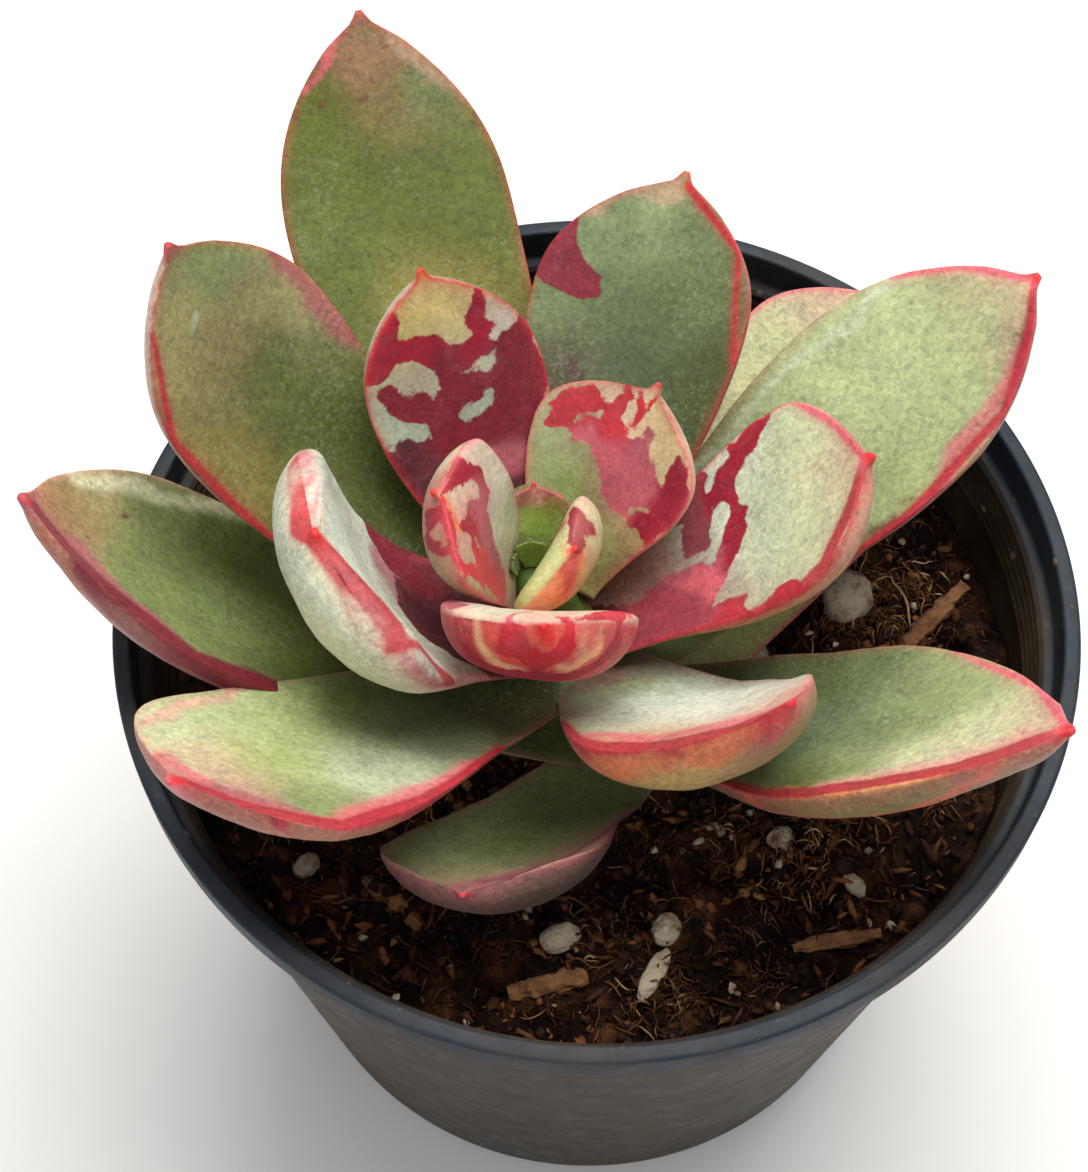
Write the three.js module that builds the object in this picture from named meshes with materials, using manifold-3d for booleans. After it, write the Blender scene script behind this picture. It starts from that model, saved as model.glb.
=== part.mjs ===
// A potted echeveria: a rosette of fleshy leaves on a short leaning stem, in a round nursery pot of soil.
// Millimetres, +Z up. The origin is on the pot's axis, on the surface that the pot stands on.
// +X is the viewer's right and +Y points away from the viewer.
import * as THREE from "three";
import { mergeVertices } from "three/addons/utils/BufferGeometryUtils.js";
import Module from "manifold-3d";

const wasm = await Module();
wasm.setup();

// Pot: a tapered thin wall under a thick rim band
const POT_HEIGHT = 76;
const RIM_RADIUS = 50;
const RIM_BAND = 3.8;
const RIM_LIP = 1.8;
const RIM_FOOT_CHAMFER = 0.5;
const RIM_TOP_CHAMFER = 0.6;
const BODY_TOP_RADIUS = 48.2;
const BASE_RADIUS = 38;
const WALL = 1.1;
const FLOOR = 1.5;
const BASE_ROUND = 1.5;
const RIB_COUNT = 3;
const RIB_PITCH = 1.7;
const RIB_DEPTH = 0.45;
const RIB_DROP = 1; // from the foot of the rim band down to the first rib
const RIB_SHOULDER = 0.55; // height of a rib's upper slope, as a share of the pitch
const DRAIN_HOLES = 6;
const DRAIN_RADIUS = 3.5;
const DRAIN_CIRCLE = 27;
const DRAIN_SIDES = 14;
const POT_SIDES = 48;

// Soil: a lumpy fill, and the gap that touching solids keep
const GAP = 0.3;
const SOIL_LEVEL = 61.5;
const SOIL_RINGS = 10;
const SOIL_SIDES = 36;
const SOIL_LUMPS = 46;
const SOIL_LUMP_REACH = 44;
const SOIL_LUMP_HEIGHT = 1.5;
const SOIL_LOWEST_LUMP = 0.4; // height of the lowest lump, as a share of the highest
const SOIL_LUMP_SPREAD = 4.2;
const SOIL_SPREAD_RANGE = [0.6, 1.4]; // shares of the spread that a lump can have
const SOIL_HOLLOWS = 0.4; // share of the lumps that are hollows
const SOIL_HOLLOW_DEPTH = 0.7; // depth of a hollow, as a share of a lump's height
const SOIL_SINK = 1.2; // how much lower the soil lies at the wall
const SOIL_SINK_START = 0.75; // where it starts to sink, as a share of the way to the wall
const SOIL_SEED = 11;

// Stem: stations of its middle line from the soil up, with the radius at each
const STEM = [
  { x: 6, y: -13, z: 55, radius: 4.2 },
  { x: 5, y: -11.5, z: 62, radius: 4.2 },
  { x: 2, y: -7.5, z: 68, radius: 4.2 },
  { x: -2, y: -4.2, z: 73.5, radius: 3.8 },
  { x: -5, y: -2.2, z: 78.5, radius: 3.2 },
  { x: -6.6, y: -1.2, z: 82.5, radius: 2.2 },
];
const STEM_SIDES = 14;
const STEM_STEPS = 14;
const STEM_SAMPLES = 200;

// Leaf grids: steps from root to tip, and strips across each face
const LEAF_STEPS = 12;
const LEAF_STRIPS = 5;
const LEAF_CROWDING = 0.8; // below 1, so the steps get shorter towards the tip

// Form that all leaves share
const NECK_GROWTH = 0.85; // how early the neck widens
const POINT_WIDTH = 0.16; // width where the point begins, as a share of the leaf's width
const POINT_REACH = 2; // how far down the leaf the point blends in, in lengths of the point
const ROOT_THICKNESS = 0.62; // thickness at the root, as a share of the middle's
const THICK_FROM = 0.5; // where the full thickness is reached
const TIP_THINNING = 0.25; // share of the thickness that is lost at the tip
const THIN_FROM = 0.6;
const ROOT_CROWN = 0.35; // crown of the upper face at the root, as a share of the tip's
const CROWN_FROM = 0.35;
const CUP_FROM = 0.3; // where the edges are fully raised
const ROLL_FROM = 0.35; // where the roll is complete

// What a leaf has unless its own row says otherwise
const LEAF = {
  offset: 2.5, // from the stem's middle line to the root
  roll: 0, // degrees that its right edge is raised
  sweep: 0, // degrees that it turns sideways on the way to its tip
  belly: 0.65, // where it is widest, as a share of its length
  tip: 2.3, // how full the outline stays on the way to the tip
  blunt: 0.9, // below 1, the tip is rounder
  neck: 0.38, // width at the root, as a share of its width
  thick: 6,
  cup: 0.14, // how far the edges rise, as a share of the half width
  pillow: 0.1, // crown of the upper face, as a share of the thickness
  mucro: 1.6, // length of the point at the tip
};

// Leaves from the heart outwards. turn is the compass angle of the root, rise and tip_rise are the
// slopes at the root and at the tip in degrees, and height is where the root sits on the stem.
const LEAVES = [
  {
    name: "leaf_bud_left", height: 83, turn: 170, rise: 76, tip_rise: 84, length: 3, width: 2.2,
    offset: 1.4, thick: 1.2, mucro: 0.5, marbled: true,
  },
  {
    name: "leaf_bud_right", height: 83, turn: 95, rise: 66, tip_rise: 80, length: 4, width: 3.2,
    offset: 0.9, thick: 1.2, mucro: 0.6, marbled: true,
  },
  {
    name: "leaf_heart_back", height: 82, turn: 90, rise: 50, tip_rise: 68, length: 8.8, width: 6.9,
    thick: 3, roll: -6, tip: 1.9, mucro: 0.9, marbled: true,
  },
  {
    name: "leaf_heart_front", height: 82.1, turn: 325, rise: 78, tip_rise: 54, length: 11.8, width: 13.5,
    offset: 0.5, thick: 3.7, roll: -7, cup: 0.1, pillow: 0.44, belly: 0.61, mucro: 0.9, marbled: true,
  },
  {
    name: "leaf_heart_left", height: 80, turn: 174, rise: 82, tip_rise: 52, length: 21, width: 15.5,
    thick: 4.5, roll: 7, sweep: 10, belly: 0.72, pillow: 0.2, marbled: true,
  },
  {
    name: "leaf_heart_right", height: 79, turn: 59, rise: 33, tip_rise: 48, length: 23.5, width: 19.5,
    thick: 5, roll: 9, sweep: -9, belly: 0.61, cup: 0.22, marbled: true,
  },
  {
    name: "leaf_front_near", height: 78, turn: 258, rise: 67, tip_rise: 55, length: 25, width: 18.5,
    thick: 5.8, roll: 6, sweep: 22, belly: 0.62, tip: 1.9, cup: 0.06, pillow: 0.2, marbled: true,
  },
  {
    name: "leaf_back_mid", height: 77, turn: 120, rise: 22, tip_rise: 68, length: 37.5, width: 18.6,
    thick: 5.5, sweep: -4, belly: 0.63, tip: 2.4, cup: 0.11, marbled: true,
  },
  {
    name: "leaf_left_near", height: 77, turn: 199, rise: 7, tip_rise: 99, length: 38, width: 26.5,
    thick: 4, roll: -14, sweep: -10, belly: 0.74, tip: 2.9, cup: 0.24, pillow: 1,
  },
  {
    name: "leaf_right_mid", height: 75, turn: 15, rise: 31, tip_rise: 53, length: 37, width: 21,
    thick: 5.5, roll: 4.5, sweep: -9, belly: 0.71, tip: 2.5, cup: 0.16,
  },
  {
    name: "leaf_back_right", height: 74, turn: 80, rise: 25, tip_rise: 34, length: 48.5, width: 23.8,
    thick: 5.5, roll: 14, sweep: -12, belly: 0.68, cup: 0.2,
  },
  {
    name: "leaf_right_near", height: 73, turn: 299, rise: 31, tip_rise: 66, length: 39.5, width: 23,
    roll: 22, sweep: 30, belly: 0.51, tip: 1.9, cup: 0.05,
  },
  {
    name: "leaf_back_left", height: 72.5, turn: 152, rise: 12, tip_rise: 74, length: 61.5, width: 23,
    thick: 5.2, roll: 2, sweep: -3.5, belly: 0.7, tip: 2.2, cup: 0.06,
  },
  {
    name: "leaf_left_front", height: 73.5, turn: 217, rise: 15, tip_rise: 48, length: 52, width: 26,
    thick: 4.4, roll: -19, sweep: 2, belly: 0.75, tip: 2.7, cup: 0.05,
  },
  {
    name: "leaf_right_back", height: 71, turn: 39, rise: 20, tip_rise: 33.5, length: 59, width: 24,
    thick: 5.2, roll: 5, sweep: -9.5, belly: 0.61, tip: 2.6, cup: 0.17,
  },
  {
    name: "leaf_back_tall", height: 68.5, turn: 123.5, rise: 9, tip_rise: 48.5, length: 76.5, width: 23.8,
    thick: 5.5, roll: 3, sweep: -23, belly: 0.69, tip: 2.45,
  },
  {
    name: "leaf_right_front", height: 68, turn: 335, rise: 23, tip_rise: 48, length: 52, width: 25.7,
    thick: 5.7, roll: 20, belly: 0.5, tip: 1.9, cup: 0.13,
  },
  {
    name: "leaf_left", height: 64.8, turn: 169, rise: 5, tip_rise: 57, length: 69, width: 24.7,
    thick: 5.2, roll: -21, sweep: 8, belly: 0.67, tip: 2.2, cup: 0.18,
  },
  {
    name: "leaf_right_hidden", height: 65, turn: 59, rise: 4.5, tip_rise: 29, length: 55.5, width: 25.8,
    thick: 4.5, roll: -4, sweep: -6, belly: 0.75, tip: 2.7, cup: 0.17,
  },
  {
    name: "leaf_front_low", height: 63.8, turn: 232, rise: 3, tip_rise: 60, length: 34, width: 22.3,
    thick: 3.4, roll: -31, sweep: 5.7, belly: 0.74, tip: 2.4, cup: 0.3,
  },
];

// Perlite grains that lie on the soil: place, half sizes and turn about the upright
const PERLITE = [
  { x: -3.8, y: -32.4, long: 2.1, wide: 1.5, high: 1.3, turn: 20 },
  { x: 7.1, y: -31.1, long: 1.8, wide: 1.5, high: 1.3, turn: 70 },
  { x: 5.8, y: -35.8, long: 3.0, wide: 1.1, high: 0.9, turn: 60 },
  { x: 12.4, y: -20.3, long: 1.2, wide: 1.0, high: 0.9, turn: 0 },
  { x: 19.1, y: -21.1, long: 1.5, wide: 1.0, high: 0.9, turn: 35 },
  { x: 26.6, y: -26.1, long: 1.7, wide: 1.0, high: 0.9, turn: 120 },
  { x: -6.1, y: -14.4, long: 1.8, wide: 1.4, high: 1.2, turn: 10 },
  { x: 28.1, y: 7.8, long: 3.4, wide: 2.8, high: 2.4, turn: 60 },
  { x: 17.4, y: 0.3, long: 1.7, wide: 1.3, high: 1.2, turn: 0 },
  { x: -30, y: -24, long: 1.6, wide: 1.2, high: 1.0, turn: 45 },
  { x: -24, y: 30, long: 1.9, wide: 1.5, high: 1.2, turn: 80 },
];
const PERLITE_SIDES = 8;
const PERLITE_BANDS = 5;
const PERLITE_EMERGES = 0.35; // height of a grain's middle over the soil, as a share of its half height
const KNOB = { level: 0.12, acrossX: 3.1, acrossY: 2.7, upright: 0.08, acrossZ: 4, phase: 1.7 };

// Slivers of bark that lie on the soil: the two ends and the radius at the middle
const BARK = [
  { from: [33.5, 1.5], to: [41, 8.5], lift: 3, radius: 1.0 },
  { from: [-9, -38], to: [-1, -36.5], lift: 1.4, radius: 1.2 },
  { from: [-18, -31], to: [-24, -26], lift: 1.2, radius: 0.9 },
  { from: [20, -33], to: [29, -31.5], lift: 1.3, radius: 0.8 },
];
const BARK_SIDES = 7;
const BARK_STEPS = 6;
const BARK_FLATNESS = 0.6; // height of a sliver's section, as a share of its width
const BARK_END = 0.35; // how little of the radius is left towards an end
const BARK_REST = 0.3; // height of the lower end over the soil

const DEGREE = Math.PI / 180;
const smooth = (x) => THREE.MathUtils.smoothstep(x, 0, 1);

// Seeded pseudo-random numbers between 0 and 1 (mulberry32)
function randomSource(seed) {
  let state = seed;
  return () => {
    state = (state + 0x6d2b79f5) | 0;
    let mixed = Math.imul(state ^ (state >>> 15), 1 | state);
    mixed = (mixed + Math.imul(mixed ^ (mixed >>> 7), 61 | mixed)) ^ mixed;
    return ((mixed ^ (mixed >>> 14)) >>> 0) / 4294967296;
  };
}

// A closed geometry as a solid that can be joined and cut
function solidFrom(geometry) {
  const bare = geometry.clone();
  bare.deleteAttribute("normal");
  bare.deleteAttribute("uv");
  const merged = mergeVertices(bare, 1e-4);
  const mesh = new wasm.Mesh({
    numProp: 3,
    vertProperties: new Float32Array(merged.attributes.position.array),
    triVerts: new Uint32Array(merged.index.array),
  });
  return new wasm.Manifold(mesh);
}

// A solid as a geometry again
function geometryFrom(solid) {
  const mesh = solid.getMesh();
  const geometry = new THREE.BufferGeometry();
  geometry.setAttribute("position", new THREE.BufferAttribute(mesh.vertProperties, 3));
  geometry.setIndex(new THREE.BufferAttribute(mesh.triVerts, 1));
  geometry.computeVertexNormals();
  return geometry;
}

// The largest single body of a solid, for when a cut leaves a loose scrap behind
function mainBody(solid) {
  return solid.decompose().reduce((best, body) => (body.volume() > best.volume() ? body : best));
}

// A closed skin over rings of points, with a fan of triangles over the first and the last ring.
// Each ring runs anticlockwise as seen from the last ring, looking back at the first.
function skin(rings) {
  const count = rings[0].length;
  const middle = (ring) => ring.reduce((sum, p) => sum.add(p), new THREE.Vector3()).divideScalar(count);
  const points = rings.flat().concat(middle(rings[0]), middle(rings.at(-1)));
  const first = rings.length * count;
  const last = first + 1;
  const faces = [];
  for (let i = 0; i < count; i++) {
    const j = (i + 1) % count;
    faces.push(first, j, i);
    faces.push(last, (rings.length - 1) * count + i, (rings.length - 1) * count + j);
    for (let r = 0; r + 1 < rings.length; r++) {
      const a = r * count;
      const b = a + count;
      faces.push(a + i, a + j, b + i);
      faces.push(a + j, b + j, b + i);
    }
  }
  const geometry = new THREE.BufferGeometry().setFromPoints(points);
  geometry.setIndex(faces);
  return geometry;
}

// Height along the stem's middle line picks a point and a radius on it
const stemCurve = new THREE.CatmullRomCurve3(STEM.map((s) => new THREE.Vector3(s.x, s.y, s.z)));

function stemRadius(height) {
  const upper = Math.max(1, STEM.findIndex((s) => s.z >= height));
  const [a, b] = [STEM[upper - 1], STEM[upper]];
  return THREE.MathUtils.mapLinear(height, a.z, b.z, a.radius, b.radius);
}

function stemPoint(height) {
  const samples = stemCurve.getPoints(STEM_SAMPLES);
  return samples.reduce((best, p) => (Math.abs(p.z - height) < Math.abs(best.z - height) ? p : best));
}

function stemGeometry(extra = 0) {
  const rings = [];
  for (let i = 0; i <= STEM_STEPS; i++) {
    const centre = stemCurve.getPoint(i / STEM_STEPS);
    const radius = stemRadius(centre.z) + extra;
    const ring = [];
    for (let k = 0; k < STEM_SIDES; k++) {
      const angle = (2 * Math.PI * k) / STEM_SIDES;
      const across = new THREE.Vector3(Math.cos(angle), Math.sin(angle), 0);
      ring.push(centre.clone().addScaledVector(across, radius));
    }
    rings.push(ring);
  }
  return skin(rings);
}

// Half width of a leaf at t from root 0 to tip 1, as a share of its greatest half width
function outline(leaf, t) {
  const pointStart = 1 - leaf.mucro / leaf.length;
  const towardsTip = THREE.MathUtils.clamp((t - leaf.belly) / (pointStart - leaf.belly), 0, 1);
  const tipPart = (1 - towardsTip ** leaf.tip) ** leaf.blunt;
  const rootPart = leaf.neck + (1 - leaf.neck) * smooth(Math.min(1, t / leaf.belly) ** NECK_GROWTH);
  const fromEnd = ((1 - t) * leaf.length) / (POINT_REACH * leaf.mucro);
  return Math.hypot(t < leaf.belly ? rootPart : tipPart, POINT_WIDTH * Math.min(1, fromEnd));
}

// A leaf: its middle line bends from rise to tip_rise and turns by sweep, and each section across it
// is a D, flat or slightly crowned above and round below, with its edges raised by cup.
function leafGeometry(row, extra = 0) {
  const leaf = { ...LEAF, ...row };
  const direction = (t) => {
    const slope = (leaf.rise + (leaf.tip_rise - leaf.rise) * t) * DEGREE;
    const compass = (leaf.turn + leaf.sweep * t) * DEGREE;
    const level = Math.cos(slope);
    return new THREE.Vector3(level * Math.cos(compass), level * Math.sin(compass), Math.sin(slope));
  };
  const root = stemPoint(leaf.height);
  root.x += leaf.offset * Math.cos(leaf.turn * DEGREE);
  root.y += leaf.offset * Math.sin(leaf.turn * DEGREE);
  const rings = [];
  const centre = root.clone();
  for (let i = 0; i <= LEAF_STEPS; i++) {
    const t = (i / LEAF_STEPS) ** LEAF_CROWDING;
    if (i > 0) {
      const before = ((i - 1) / LEAF_STEPS) ** LEAF_CROWDING;
      centre.addScaledVector(direction((t + before) / 2), (t - before) * leaf.length);
    }
    const ahead = direction(t);
    const compass = (leaf.turn + leaf.sweep * t) * DEGREE;
    const levelSide = new THREE.Vector3(Math.sin(compass), -Math.cos(compass), 0);
    const levelUp = new THREE.Vector3().crossVectors(levelSide, ahead);
    const tilt = leaf.roll * DEGREE * smooth(t / ROLL_FROM);
    const side = levelSide.clone().multiplyScalar(Math.cos(tilt)).addScaledVector(levelUp, Math.sin(tilt));
    const up = levelUp.clone().multiplyScalar(Math.cos(tilt)).addScaledVector(levelSide, -Math.sin(tilt));
    const full = outline(leaf, t);
    const half = (full * leaf.width) / 2;
    const fromRoot = THREE.MathUtils.lerp(ROOT_THICKNESS, 1, smooth(t / THICK_FROM));
    const toTip = 1 - TIP_THINNING * smooth((t - THIN_FROM) / (1 - THIN_FROM));
    const depth = leaf.thick * Math.min(1, full) ** 0.6 * fromRoot * toTip;
    const crown = leaf.pillow * depth * THREE.MathUtils.lerp(ROOT_CROWN, 1, smooth((t - CROWN_FROM) / 0.5));
    const rise = leaf.cup * smooth(t / CUP_FROM) * half;
    const ring = [];
    for (let k = 0; k < 2 * LEAF_STRIPS; k++) {
      const v = -Math.cos((Math.PI * k) / LEAF_STRIPS);
      const edge = rise * v * v;
      const above = edge + (crown + extra) * Math.sqrt(Math.max(0, 1 - v ** 6));
      const below = edge - (depth + extra) * Math.sqrt(Math.max(0, 1 - Math.abs(v) ** 2.5));
      const lift = k <= LEAF_STRIPS ? above : below;
      const point = centre.clone().addScaledVector(side, (half + extra) * v).addScaledVector(up, lift);
      ring.push(point);
    }
    rings.push(ring);
  }
  return skin(rings);
}

// Pot radius outside at a height, under the rim band
function potRadius(z) {
  return THREE.MathUtils.mapLinear(z, 0, POT_HEIGHT - RIM_BAND, BASE_RADIUS, BODY_TOP_RADIUS);
}

function potGeometry() {
  const bandFoot = POT_HEIGHT - RIM_BAND;
  const profile = [
    [0, 0],
    [BASE_RADIUS - BASE_ROUND, 0],
    [potRadius(BASE_ROUND), BASE_ROUND],
    [BODY_TOP_RADIUS, bandFoot],
    [RIM_RADIUS - RIM_FOOT_CHAMFER, bandFoot],
    [RIM_RADIUS, bandFoot + RIM_FOOT_CHAMFER],
    [RIM_RADIUS, POT_HEIGHT - RIM_TOP_CHAMFER],
    [RIM_RADIUS - RIM_TOP_CHAMFER, POT_HEIGHT],
    [RIM_RADIUS - RIM_LIP, POT_HEIGHT],
  ];
  for (let i = 0; i < RIB_COUNT; i++) {
    const z = bandFoot - RIB_DROP - i * RIB_PITCH;
    profile.push([potRadius(z) - WALL, z + RIB_SHOULDER * RIB_PITCH]);
    profile.push([potRadius(z) - WALL - RIB_DEPTH, z]);
  }
  const ribsEnd = bandFoot - RIB_DROP - RIB_COUNT * RIB_PITCH;
  profile.push([potRadius(ribsEnd) - WALL, ribsEnd]);
  profile.push([potRadius(FLOOR) - WALL, FLOOR]);
  profile.push([0, FLOOR]);
  const points = profile.map(([r, z]) => new THREE.Vector2(r, z));
  let pot = solidFrom(new THREE.LatheGeometry(points, POT_SIDES).rotateX(Math.PI / 2));
  for (let i = 0; i < DRAIN_HOLES; i++) {
    const angle = (2 * Math.PI * i) / DRAIN_HOLES;
    const drill = new THREE.CylinderGeometry(DRAIN_RADIUS, DRAIN_RADIUS, 4 * FLOOR, DRAIN_SIDES);
    drill.rotateX(Math.PI / 2);
    drill.translate(DRAIN_CIRCLE * Math.cos(angle), DRAIN_CIRCLE * Math.sin(angle), FLOOR / 2);
    pot = pot.subtract(solidFrom(drill));
  }
  return geometryFrom(pot);
}

// Lumps of the soil: seeded bumps and hollows
function scatterLumps() {
  const random = randomSource(SOIL_SEED);
  const [narrowest, widest] = SOIL_SPREAD_RANGE;
  const lumps = [];
  for (let i = 0; i < SOIL_LUMPS; i++) {
    const radius = SOIL_LUMP_REACH * Math.sqrt(random());
    const angle = 2 * Math.PI * random();
    const height = SOIL_LUMP_HEIGHT * THREE.MathUtils.lerp(SOIL_LOWEST_LUMP, 1, random());
    const sign = random() < SOIL_HOLLOWS ? -SOIL_HOLLOW_DEPTH : 1;
    const spread = SOIL_LUMP_SPREAD * THREE.MathUtils.lerp(narrowest, widest, random());
    lumps.push({ x: radius * Math.cos(angle), y: radius * Math.sin(angle), height: sign * height, spread });
  }
  return lumps;
}

const lumps = scatterLumps();

// Height of the soil at a place: the level plus the lumps, a little lower at the wall
function soilHeight(x, y) {
  const outward = Math.hypot(x, y) / potRadius(SOIL_LEVEL);
  const sum = lumps.reduce((total, lump) => {
    const away = ((x - lump.x) ** 2 + (y - lump.y) ** 2) / lump.spread ** 2;
    return total + lump.height * Math.exp(-away);
  }, 0);
  return SOIL_LEVEL + sum - SOIL_SINK * smooth((outward - SOIL_SINK_START) / (1 - SOIL_SINK_START));
}

function soilGeometry() {
  const bottom = FLOOR + GAP;
  const rings = [];
  const addRing = (radius, height) => {
    const ring = [];
    for (let k = 0; k < SOIL_SIDES; k++) {
      const angle = (2 * Math.PI * k) / SOIL_SIDES;
      const [x, y] = [radius * Math.cos(angle), radius * Math.sin(angle)];
      ring.push(new THREE.Vector3(x, y, height ?? soilHeight(x, y)));
    }
    rings.push(ring);
  };
  const wallRadius = (z) => potRadius(z) - WALL - 2 * GAP;
  addRing(wallRadius(bottom), bottom);
  for (let i = SOIL_RINGS; i > 0; i--) addRing((wallRadius(SOIL_LEVEL - 1) * i) / SOIL_RINGS);
  return skin(rings);
}

// A squashed ball with a knobbly skin, for a grain of perlite
function grainGeometry(grain, index, extra = 0) {
  const ball = new THREE.SphereGeometry(1, PERLITE_SIDES, PERLITE_BANDS);
  const position = ball.attributes.position;
  const phase = KNOB.phase * index;
  for (let i = 0; i < position.count; i++) {
    const p = new THREE.Vector3().fromBufferAttribute(position, i);
    const level = Math.sin(KNOB.acrossX * p.x + phase) * Math.cos(KNOB.acrossY * p.y + 2 * phase);
    p.multiplyScalar(1 + KNOB.level * level + KNOB.upright * Math.sin(KNOB.acrossZ * p.z));
    position.setXYZ(i, p.x * (grain.long + extra), p.y * (grain.wide + extra), p.z * (grain.high + extra));
  }
  ball.rotateZ(grain.turn * DEGREE);
  ball.translate(grain.x, grain.y, soilHeight(grain.x, grain.y) + PERLITE_EMERGES * grain.high);
  return ball;
}

// A sliver of bark: a pointed bar between two places on the soil, with its far end lifted
function barkGeometry(sliver, extra = 0) {
  const start = new THREE.Vector3(...sliver.from, soilHeight(...sliver.from) + BARK_REST);
  const end = new THREE.Vector3(...sliver.to, soilHeight(...sliver.to) + sliver.lift);
  const along = end.clone().sub(start).normalize();
  const across = new THREE.Vector3(-along.y, along.x, 0).normalize();
  const up = new THREE.Vector3().crossVectors(along, across);
  const rings = [];
  for (let i = 0; i <= BARK_STEPS; i++) {
    const t = i / BARK_STEPS;
    const swell = Math.sin(Math.PI * THREE.MathUtils.lerp(0.1, 0.9, t));
    const radius = sliver.radius * THREE.MathUtils.lerp(BARK_END, 1, swell) + extra;
    const ring = [];
    for (let k = 0; k < BARK_SIDES; k++) {
      const angle = (2 * Math.PI * k) / BARK_SIDES;
      const point = start.clone().lerp(end, t);
      point.addScaledVector(across, radius * Math.cos(angle));
      point.addScaledVector(up, BARK_FLATNESS * radius * Math.sin(angle));
      ring.push(point);
    }
    rings.push(ring);
  }
  return skin(rings);
}

const materials = {
  pot: new THREE.MeshStandardMaterial({ color: 0x2b2c30, roughness: 0.6, metalness: 0 }),
  soil: new THREE.MeshStandardMaterial({ color: 0x3a2519, roughness: 0.95, metalness: 0 }),
  stem: new THREE.MeshStandardMaterial({ color: 0x7d7a45, roughness: 0.6, metalness: 0 }),
  leaf: new THREE.MeshStandardMaterial({ color: 0xa3b083, roughness: 0.5, metalness: 0 }),
  heart: new THREE.MeshStandardMaterial({ color: 0xc46a72, roughness: 0.5, metalness: 0 }),
  perlite: new THREE.MeshStandardMaterial({ color: 0xd9d2c6, roughness: 0.9, metalness: 0 }),
  bark: new THREE.MeshStandardMaterial({ color: 0x9a6238, roughness: 0.9, metalness: 0 }),
};

const plant = new THREE.Group();

function addPiece(name, geometry, material) {
  const mesh = new THREE.Mesh(geometry, material);
  mesh.name = name;
  plant.add(mesh);
}

const pot = potGeometry();
addPiece("pot", pot, materials.pot);

// What later pieces have to keep clear of, each grown by the gap
let taken = solidFrom(stemGeometry(GAP));
addPiece("stem", geometryFrom(solidFrom(stemGeometry())), materials.stem);

// Each leaf yields to the younger ones above it, so its root fits between theirs and the stem
for (const leaf of LEAVES) {
  const solid = mainBody(solidFrom(leafGeometry(leaf)).subtract(taken));
  taken = taken.add(solidFrom(leafGeometry(leaf, GAP)));
  addPiece(leaf.name, geometryFrom(solid), leaf.marbled ? materials.heart : materials.leaf);
}

// Grains and slivers lie in sockets in the soil
let soil = solidFrom(soilGeometry()).subtract(taken);
PERLITE.forEach((grain, i) => {
  const solid = mainBody(solidFrom(grainGeometry(grain, i)).subtract(taken));
  taken = taken.add(solidFrom(grainGeometry(grain, i, GAP)));
  soil = soil.subtract(solidFrom(grainGeometry(grain, i, GAP)));
  addPiece(`perlite_${i + 1}`, geometryFrom(solid), materials.perlite);
});
BARK.forEach((sliver, i) => {
  const solid = mainBody(solidFrom(barkGeometry(sliver)).subtract(taken));
  soil = soil.subtract(solidFrom(barkGeometry(sliver, GAP)));
  addPiece(`bark_${i + 1}`, geometryFrom(solid), materials.bark);
});
addPiece("soil", geometryFrom(mainBody(soil)), materials.soil);

export default plant;
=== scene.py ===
import math

import bpy
import numpy as np
from bpy.props import FloatProperty, FloatVectorProperty, IntProperty, PointerProperty
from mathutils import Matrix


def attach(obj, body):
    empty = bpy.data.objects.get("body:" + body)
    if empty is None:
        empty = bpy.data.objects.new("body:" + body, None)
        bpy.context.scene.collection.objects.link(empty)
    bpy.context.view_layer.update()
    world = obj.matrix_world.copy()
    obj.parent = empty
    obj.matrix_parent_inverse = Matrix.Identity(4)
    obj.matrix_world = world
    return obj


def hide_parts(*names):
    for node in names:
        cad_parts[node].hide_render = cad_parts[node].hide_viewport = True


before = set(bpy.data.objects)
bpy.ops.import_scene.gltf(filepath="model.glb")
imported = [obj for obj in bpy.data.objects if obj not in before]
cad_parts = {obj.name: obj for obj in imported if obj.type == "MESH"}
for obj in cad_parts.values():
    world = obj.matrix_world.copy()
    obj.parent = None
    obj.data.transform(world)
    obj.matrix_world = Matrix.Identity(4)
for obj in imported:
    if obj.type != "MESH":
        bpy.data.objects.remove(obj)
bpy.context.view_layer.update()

bl_info = {
    "name": "Potted echeveria",
    "version": (1, 0, 0),
    "blender": (4, 5, 0),
    "location": "View3D > Sidebar > Echeveria",
    "description": "Dresses the packed potted echeveria: leaves, stem, soil, pot and studio",
    "category": "Add Mesh",
}

# A millimetre in metres, and the name of the body that every piece moves with
MM = 0.001
BODY = "root"

# Pot, in millimetres
POT_HEIGHT = 76.0
RIM_RADIUS = 50.0
RIM_BAND = 3.8
RIM_LIP = 1.8
BODY_TOP_RADIUS = 48.2
BASE_RADIUS = 38.0
WALL = 1.1
FLOOR = 1.5
RIB_COUNT = 5
RIB_PITCH = 1.3
RIB_DEPTH = 0.55
DRAIN_HOLES = 6
DRAIN_RADIUS = 3.5
DRAIN_CIRCLE = 27.0

# Soil, in millimetres. A reach is how far from the pot's axis a kind of piece may lie
GAP = 0.3
SOIL_LEVEL = 61.5
SOIL_LUMPS = 46
SOIL_LUMP_REACH = 44.0
SOIL_LUMP_HEIGHT = 1.5
SOIL_LUMP_SPREAD = 4.2
SOIL_SEED = 11
CLODS = 1100
CLOD_REACH = 45.0
CRUMB_REACH = 44.0
FIBRE_REACH = 42.0
TUFT_REACH = 41.0
STRAW_REACH = 38.0
STRAND_END_REACH = 44.5
STRANDS_TO_A_TUFT = 34
STEM_CLEARANCE = 5.5
STEM_DETOUR = (12.0, -3.0)

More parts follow.
